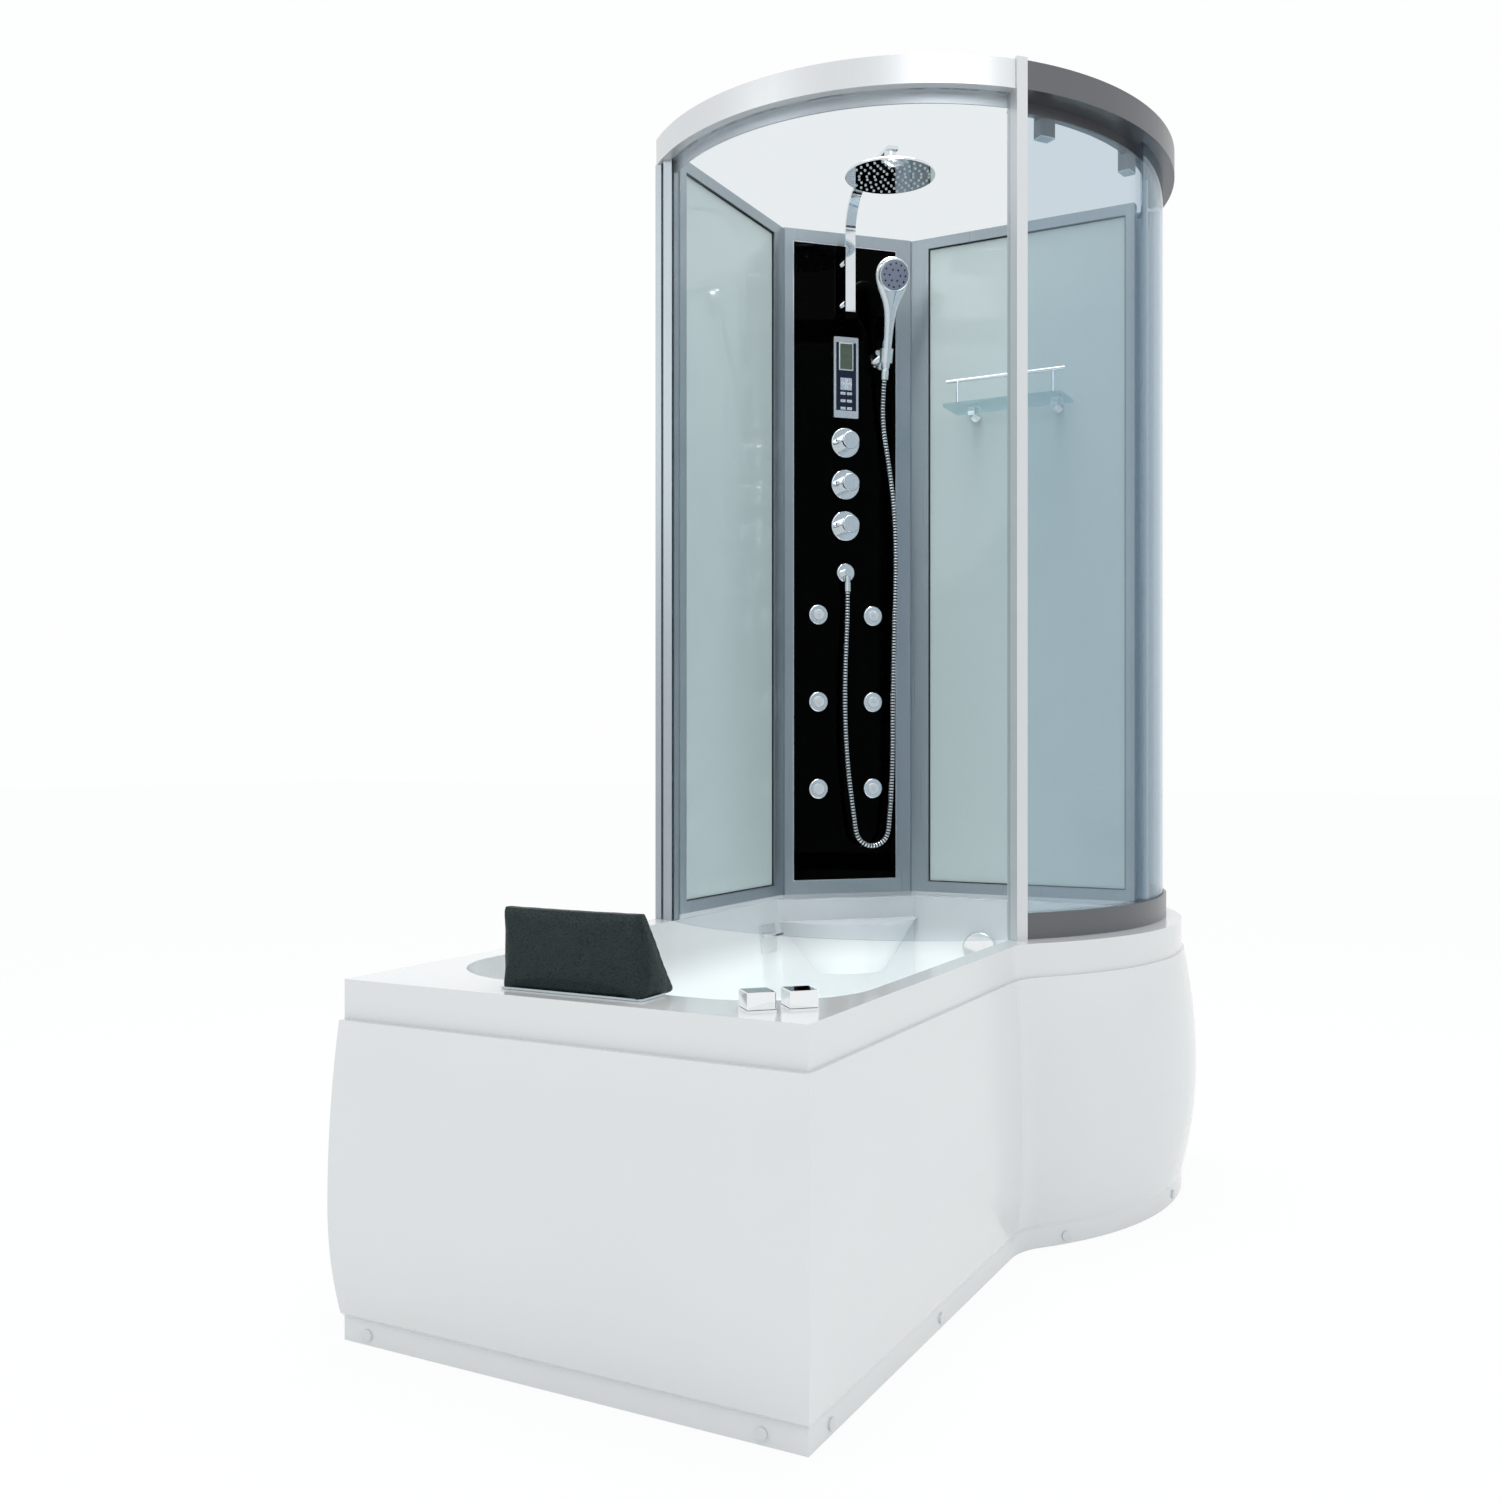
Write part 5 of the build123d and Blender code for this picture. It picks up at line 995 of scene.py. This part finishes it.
@dataclass
class Handset:
    """The hand shower: a paddle-shaped body, its spray face and a nut on the hose."""

    across: float = 0.088
    foot_height: float = 1.808
    foot_out: float = 0.035
    lean: float = math.radians(12.7)
    length: float = 0.241
    head_radius: float = 0.045
    face_tilt: float = math.radians(2.0)
    face_lift: float = 0.0015
    face_radius: float = 0.0345
    sides: int = 40

    def foot(self) -> Vector:
        """Where the hose meets the handle."""
        return COLUMN.point(self.across, self.foot_height, self.foot_out)

    def along(self) -> Vector:
        """The handle's direction."""
        return COLUMN.out * math.sin(self.lean) + Vector((0, 0, 1)) * math.cos(self.lean)

    def plane(self) -> Matrix:
        """The handle's own axes: across, towards the glass, along."""
        across, along = COLUMN.across, self.along()
        turn = Matrix((across, along.cross(across), along)).transposed()
        return Matrix.Translation(self.foot()) @ turn.to_4x4()

    def head_plane(self) -> Matrix:
        """The spray face's axes, its Z axis pointing out of the face."""
        return (self.plane() @ Matrix.Translation((0, -self.face_lift, self.length))
                @ Matrix.Rotation(self.face_tilt, 4, "X") @ Matrix.Rotation(math.pi / 2, 4, "X"))

    def body(self) -> bpy.types.Object:
        """The body as a skin over rounded sections."""
        stations = (
            (0.024, 0.0098, 0.0098, 0.0), (0.030, 0.0108, 0.0108, 0.0), (0.070, 0.0114, 0.0116, 0.0),
            (0.120, 0.0126, 0.0124, 0.0), (0.150, 0.0150, 0.0126, -0.0002), (0.172, 0.0195, 0.0124, -0.0006),
            (0.190, 0.0262, 0.0118, -0.0006), (0.206, 0.0335, 0.0112, 0.0), (0.222, 0.0400, 0.0106, 0.0004),
            (0.241, 0.0435, 0.0100, 0.0008), (0.257, 0.0410, 0.0094, 0.0014), (0.270, 0.0335, 0.0084, 0.0020),
            (0.279, 0.0225, 0.0066, 0.0026), (0.2835, 0.0110, 0.0040, 0.0030), (0.2845, 0.0030, 0.0015, 0.0032),
        )
        rings = []
        for height, wide, deep, lean_back in stations:
            squareness = 2.0 + 0.5 * min(1.0, max(0.0, (height - 0.15) / 0.05))
            ring = []
            for i in range(self.sides):
                turn = 2 * math.pi * i / self.sides
                c, s = math.cos(turn), math.sin(turn)
                ring.append(Vector((
                    wide * math.copysign(abs(c) ** (2 / squareness), c),
                    deep * math.copysign(abs(s) ** (2 / squareness), s) + lean_back,
                    height,
                )))
            rings.append(ring)
        piece = from_bmesh("handset_body", loft(rings), Look.CHROME, 60.0, self.plane())
        smooth = piece.modifiers.new("Smooth", "SUBSURF")
        smooth.levels = smooth.render_levels = 2
        return piece

    def build(self) -> list[bpy.types.Object]:
        """Makes the pieces and sets them on their body."""
        body = self.body()
        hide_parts("handset")
        nut = from_bmesh("handset_nut", lathe([
            (0.0060, 0.0), (0.0092, 0.0006), (0.0095, 0.002), (0.0095, 0.020), (0.0088, 0.0225), (0.0085, 0.026),
        ]), Look.CHROME, 30.0, self.plane())
        face = self.head_plane()
        rim = from_bmesh("handset_rim", lathe([
            (self.face_radius + 0.004, 0.004), (self.face_radius + 0.0035, 0.0125),
            (self.face_radius + 0.0015, 0.0138), (self.face_radius, 0.0132), (self.face_radius - 0.0006, 0.0118),
            (0.001, 0.0118),
        ]), Look.SATIN_CHROME, 40.0, face)
        plate = from_bmesh("handset_face", lathe([
            (self.face_radius - 0.001, 0.010), (self.face_radius - 0.0012, 0.0128),
            (self.face_radius - 0.003, 0.0134), (0.012, 0.0142), (0.0005, 0.0144),
        ]), Look.FACE_GREY, 40.0, face)
        outer = nubs_on_rings("Handset outlets", (1, 6, 12)).make(
            "handset_outlets", points_mesh([(0, 0, 0)]), {
                "First ring": 0.0004, "Ring step": 0.0133, "Foot radius": 0.0023, "Tip radius": 0.0017,
                "Height": 0.0016,
            }, Look.RUBBER, face @ Matrix.Translation((0, 0, 0.0146)))
        made = [body, nut, rim, plate, outer]
        for piece in made:
            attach(piece, "handset")
        return made


HANDSET = Handset()


@dataclass
class RainHead:
    """Nozzles under the round rain head."""

    middle_out: float = 0.287
    underside: float = 2.193
    rings: tuple[int, ...] = (1, 6, 12, 18, 24, 30)
    ring_step: float = 0.0172

    def build(self) -> list[bpy.types.Object]:
        """Sets rubber nozzles on rings, pointing down."""
        centre = COLUMN.point(0, self.underside, self.middle_out)
        place = Matrix.Translation(centre) @ Matrix.Rotation(math.pi, 4, "X")
        nozzles = nubs_on_rings("Rain nozzles", self.rings).make(
            "rain_nozzles", points_mesh([(0, 0, 0)]), {
                "First ring": 0.0005, "Ring step": self.ring_step, "Foot radius": 0.0031,
                "Tip radius": 0.0023, "Height": 0.0024,
            }, Look.NOZZLE, place @ Matrix.Translation((0, 0, -0.0002)))
        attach(nozzles, "rain_head")
        return [nozzles]


@dataclass
class ControlPanel:
    """Face sheet, display frame and key marks of the control unit."""

    middle: float = 1.8135
    depth: float = 0.009
    face_size: tuple[float, float] = (0.051, 0.159)
    display_middle: float = 1.864
    display_size: tuple[float, float] = (0.035, 0.065)
    pad_middle: float = 1.798
    key_rows: tuple[float, float, float] = (1.775, 1.757, 1.739)
    key_names: tuple = (("key_light", "key_radio"), ("key_fan", "key_lamp"), ("key_massage", "key_power"))
    key_spread: float = 0.0082
    key_size: tuple[float, float] = (0.012, 0.006)
    key_proud: float = 0.0012
    sheet: float = 0.0004

    def face(self) -> bpy.types.Object:
        """The navy sheet, cut round the display, the pad and the keys."""
        half_wide, half_high = self.face_size[0] / 2, self.face_size[1] / 2
        xs = sorted({-half_wide, half_wide, -0.0185, 0.0185, -0.0148, 0.0148, -0.0018, 0.0018})
        holes = [(-0.0185, 0.0185, self.display_middle - 0.0335, self.display_middle + 0.0335),
                 (-0.0148, 0.0148, self.pad_middle - 0.0148, self.pad_middle + 0.0148)]
        for row in self.key_rows:
            for side in (-1, 1):
                low, high = sorted((side * 0.0018, side * 0.0148))
                holes.append((low, high, row - 0.0035, row + 0.0035))
        ys = sorted({self.middle - half_high, self.middle + half_high}
                    | {edge for hole in holes for edge in hole[2:]})
        build = bmesh.new()
        for x0, x1 in zip(xs, xs[1:]):
            for y0, y1 in zip(ys, ys[1:]):
                cx, cy = (x0 + x1) / 2, (y0 + y1) / 2
                if any(a < cx < b and c < cy < d for a, b, c, d in holes):
                    continue
                corners = [build.verts.new((x, y, 0)) for x, y in ((x0, y0), (x1, y0), (x1, y1), (x0, y1))]
                build.faces.new(corners)
        bmesh.ops.remove_doubles(build, verts=build.verts, dist=1e-6)
        lifted = bmesh.ops.extrude_face_region(build, geom=list(build.faces))
        raised = [v for v in lifted["geom"] if isinstance(v, bmesh.types.BMVert)]
        bmesh.ops.translate(build, vec=(0, 0, self.sheet), verts=raised)
        return from_bmesh("panel_face", build, Look.NAVY, 30.0, COLUMN.place(0, 0, self.depth))

    def display_frame(self) -> bpy.types.Object:
        """A thin bright frame round the display."""
        wide, high = self.display_size[0] / 2 - 0.0008, self.display_size[1] / 2 - 0.0008
        middle = self.display_middle
        corners = [(-wide, middle - high, 0), (wide, middle - high, 0), (wide, middle + high, 0),
                   (-wide, middle + high, 0)]
        return strip_sweep().make("display_frame", points_mesh(corners, joined=True, ring=True),
                                  {"Width": 0.0028, "Thickness": 0.0012}, Look.CHROME,
                                  COLUMN.place(0, 0, self.depth + 0.0006), 30.0)

    def mark(self, name: str, size: Sequence[float], across: float, height: float) -> bpy.types.Object:
        """A small raised print on a key."""
        build = boxed((size[0], size[1], 0.0003))
        return from_bmesh(name, build, Look.KEY_PRINT, 30.0,
                          COLUMN.place(across, height, self.depth + self.key_proud + 0.0001))

    def build(self) -> list[bpy.types.Object]:
        """Makes the pieces and sets them on their bodies."""
        made = [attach(self.face(), "root"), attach(self.display_frame(), "root")]
        for row, share in enumerate((0.28, -0.1)):
            line = from_bmesh(f"display_line_{row + 1}", boxed((0.028, 0.0005, 0.0002)), Look.KEY_PRINT, 30.0,
                              COLUMN.place(0, self.display_middle + share * self.display_size[1] * 0.9,
                                           self.depth + 0.0001))
            made.append(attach(line, "root"))
        for names, row in zip(self.key_names, self.key_rows):
            for name, side in zip(names, (-1, 1)):
                mark = self.mark(name.replace("key_", "mark_"), (0.0046, 0.0009), side * self.key_spread, row)
                made.append(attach(mark, name))
        for name, across, up in (("left", -1, 0), ("right", 1, 0), ("up", 0, 1), ("down", 0, -1)):
            build = bmesh.new()
            bmesh.ops.create_cone(build, cap_ends=True, segments=3, radius1=0.0017, radius2=0.0015, depth=0.0003)
            build.transform(Matrix.Rotation(math.atan2(up, across), 4, "Z"))
            arrow = from_bmesh(f"arrow_{name}", build, Look.KEY_PRINT, 30.0, COLUMN.place(
                across * 0.0092, self.pad_middle + up * 0.0092, self.depth + self.key_proud + 0.0001))
            made.append(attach(arrow, "arrow_pad"))
        return made


@dataclass
class HeadPillow:
    """The stuffed wedge on the head end's ledge, with piping along its foot."""

    back: float = 0.038
    ends: tuple[float, float] = (0.278, 0.529)
    depth: float = 0.098
    top_depth: float = 0.020
    height: float = 0.127
    rim: float = 0.560
    voxel: float = 0.005
    swell: float = 0.0035
    steps: int = 16

    def wedge(self) -> bmesh.types.BMesh:
        """The wedge before it is stuffed, a little small."""
        inset = 0.002
        low, high = self.rim + 0.001, self.rim + self.height - inset
        profile = [
            (self.back + inset, low), (self.back + self.depth - inset, low),
            (self.back + self.depth - inset, low + 0.010), (self.back + self.top_depth, high),
            (self.back + inset, high),
        ]
        rings = []
        for y in (self.ends[0] + inset, self.ends[1] - inset):
            rings.append([at(x, y, z) for x, z in profile])
        return loft(rings)

    def stuffed(self) -> bpy.types.Object:
        """The wedge blown up from inside as cloth, each point moving a little at most."""
        pad = from_bmesh("pillow", self.wedge(), Look.LEATHER, None)
        mesher = pad.modifiers.new("Remesh", "REMESH")
        mesher.mode = "VOXEL"
        mesher.voxel_size = self.voxel
        bpy.context.view_layer.objects.active = pad
        with bpy.context.temp_override(object=pad, active_object=pad):
            bpy.ops.object.modifier_apply(modifier=mesher.name)
        rest = [vertex.co.copy() for vertex in pad.data.vertices]
        cloth = pad.modifiers.new("Cloth", "CLOTH")
        cloth.settings.use_pressure = True
        cloth.settings.uniform_pressure_force = 4.0
        cloth.settings.effector_weights.gravity = 0.0
        for step in range(1, self.steps + 1):
            bpy.context.scene.frame_set(step)
        with bpy.context.temp_override(object=pad, active_object=pad):
            bpy.ops.object.modifier_apply(modifier=cloth.name)
        bpy.context.scene.frame_set(1)
        for vertex, start in zip(pad.data.vertices, rest):
            move = vertex.co - start
            if move.length > self.swell:
                vertex.co = start + move.normalized() * self.swell
            crease = noise.noise(start * 26.0) * 0.0007 + noise.noise(start * 70.0) * 0.0004
            vertex.co += vertex.normal * crease
            vertex.co.z = max(vertex.co.z, self.rim + 0.0002)
        smooth = pad.modifiers.new("Smooth", "SUBSURF")
        smooth.levels = smooth.render_levels = 1
        return pad

    def build(self) -> list[bpy.types.Object]:
        """Makes the pillow and its piping."""
        pad = self.stuffed()
        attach(pad, "root")
        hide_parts("head_pillow")
        x0, x1 = self.back + 0.003, self.back + self.depth - 0.035
        y0, y1 = self.ends[0] + 0.003, self.ends[1] - 0.003
        corners = [at(x, y, self.rim + 0.002) for x, y in ((x0, y0), (x1, y0), (x1, y1), (x0, y1))]
        piping = strip_sweep().make("pillow_base", points_mesh(corners, joined=True, ring=True),
                                    {"Width": 0.003, "Thickness": 0.003}, Look.CLEAR_TRIM, None, 30.0)
        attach(piping, "root")
        return [pad, piping]


@dataclass
class PanelSeals:
    """Rubber beads and bright edge lines round the wall panels and the column glass."""

    wall_face: tuple[float, float] = (1.640, 0.750)
    left_span: tuple[float, float] = (0.956, 1.363)
    right_span: tuple[float, float] = (-0.008, 0.471)
    wall_heights: tuple[float, float] = (0.595, 2.137)
    column_half: float = 0.1335
    column_heights: tuple[float, float] = (0.601, 2.134)
    pane_setback: float = 0.006
    bead: float = 0.003

    def loop(self, name: str, corners: Sequence[Vector], look: Look) -> bpy.types.Object:
        """A thin bead round four corners."""
        bead = strip_sweep().make(name, points_mesh(corners, joined=True, ring=True),
                                  {"Width": self.bead, "Thickness": self.bead}, look, None, 30.0)
        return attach(bead, "root")

    def build(self) -> list[bpy.types.Object]:
        """Makes one bead round each panel."""
        low, high = self.wall_heights
        inset = self.bead / 2
        x0, x1 = self.left_span[0] + inset, self.left_span[1] - inset
        y = self.wall_face[1] + self.pane_setback - inset
        left = [at(x0, y, low + inset), at(x1, y, low + inset), at(x1, y, high - inset), at(x0, y, high - inset)]
        y0, y1 = self.right_span[0] + inset, self.right_span[1] - inset
        x = self.wall_face[0] + self.pane_setback - inset
        right = [at(x, y0, low + inset), at(x, y1, low + inset), at(x, y1, high - inset), at(x, y0, high - inset)]
        half = self.column_half - inset
        low, high = self.column_heights
        out = 0.0002 + inset
        column = [COLUMN.point(-half, low + inset, out), COLUMN.point(half, low + inset, out),
                  COLUMN.point(half, high - inset, out), COLUMN.point(-half, high - inset, out)]
        return [self.loop("left_wall_bead", left, Look.RUBBER), self.loop("right_wall_bead", right, Look.RUBBER),
                self.loop("column_bead", column, Look.SATIN_CHROME)]


class CadFinishes:
    """Dresses the frame's own nodes."""

    def build(self) -> None:
        """Gives every shown node its finish."""
        for look, names in NODE_LOOKS.items():
            for name in names:
                look.dress(frame["nodes"][name])
                log.info("node %s: %s", name, look.value.name)


def main() -> None:
    """Builds the scene and reports each piece."""
    logging.basicConfig(level=logging.INFO, format="%(name)s: %(message)s")
    Studio().build()
    CadFinishes().build()
    for part in (ShowerHose(), HANDSET, RainHead(), ControlPanel(), PanelSeals(), HeadPillow()):
        for piece in part.build():
            log.info("piece %s", piece.name)


if __name__ == "__main__":
    main()
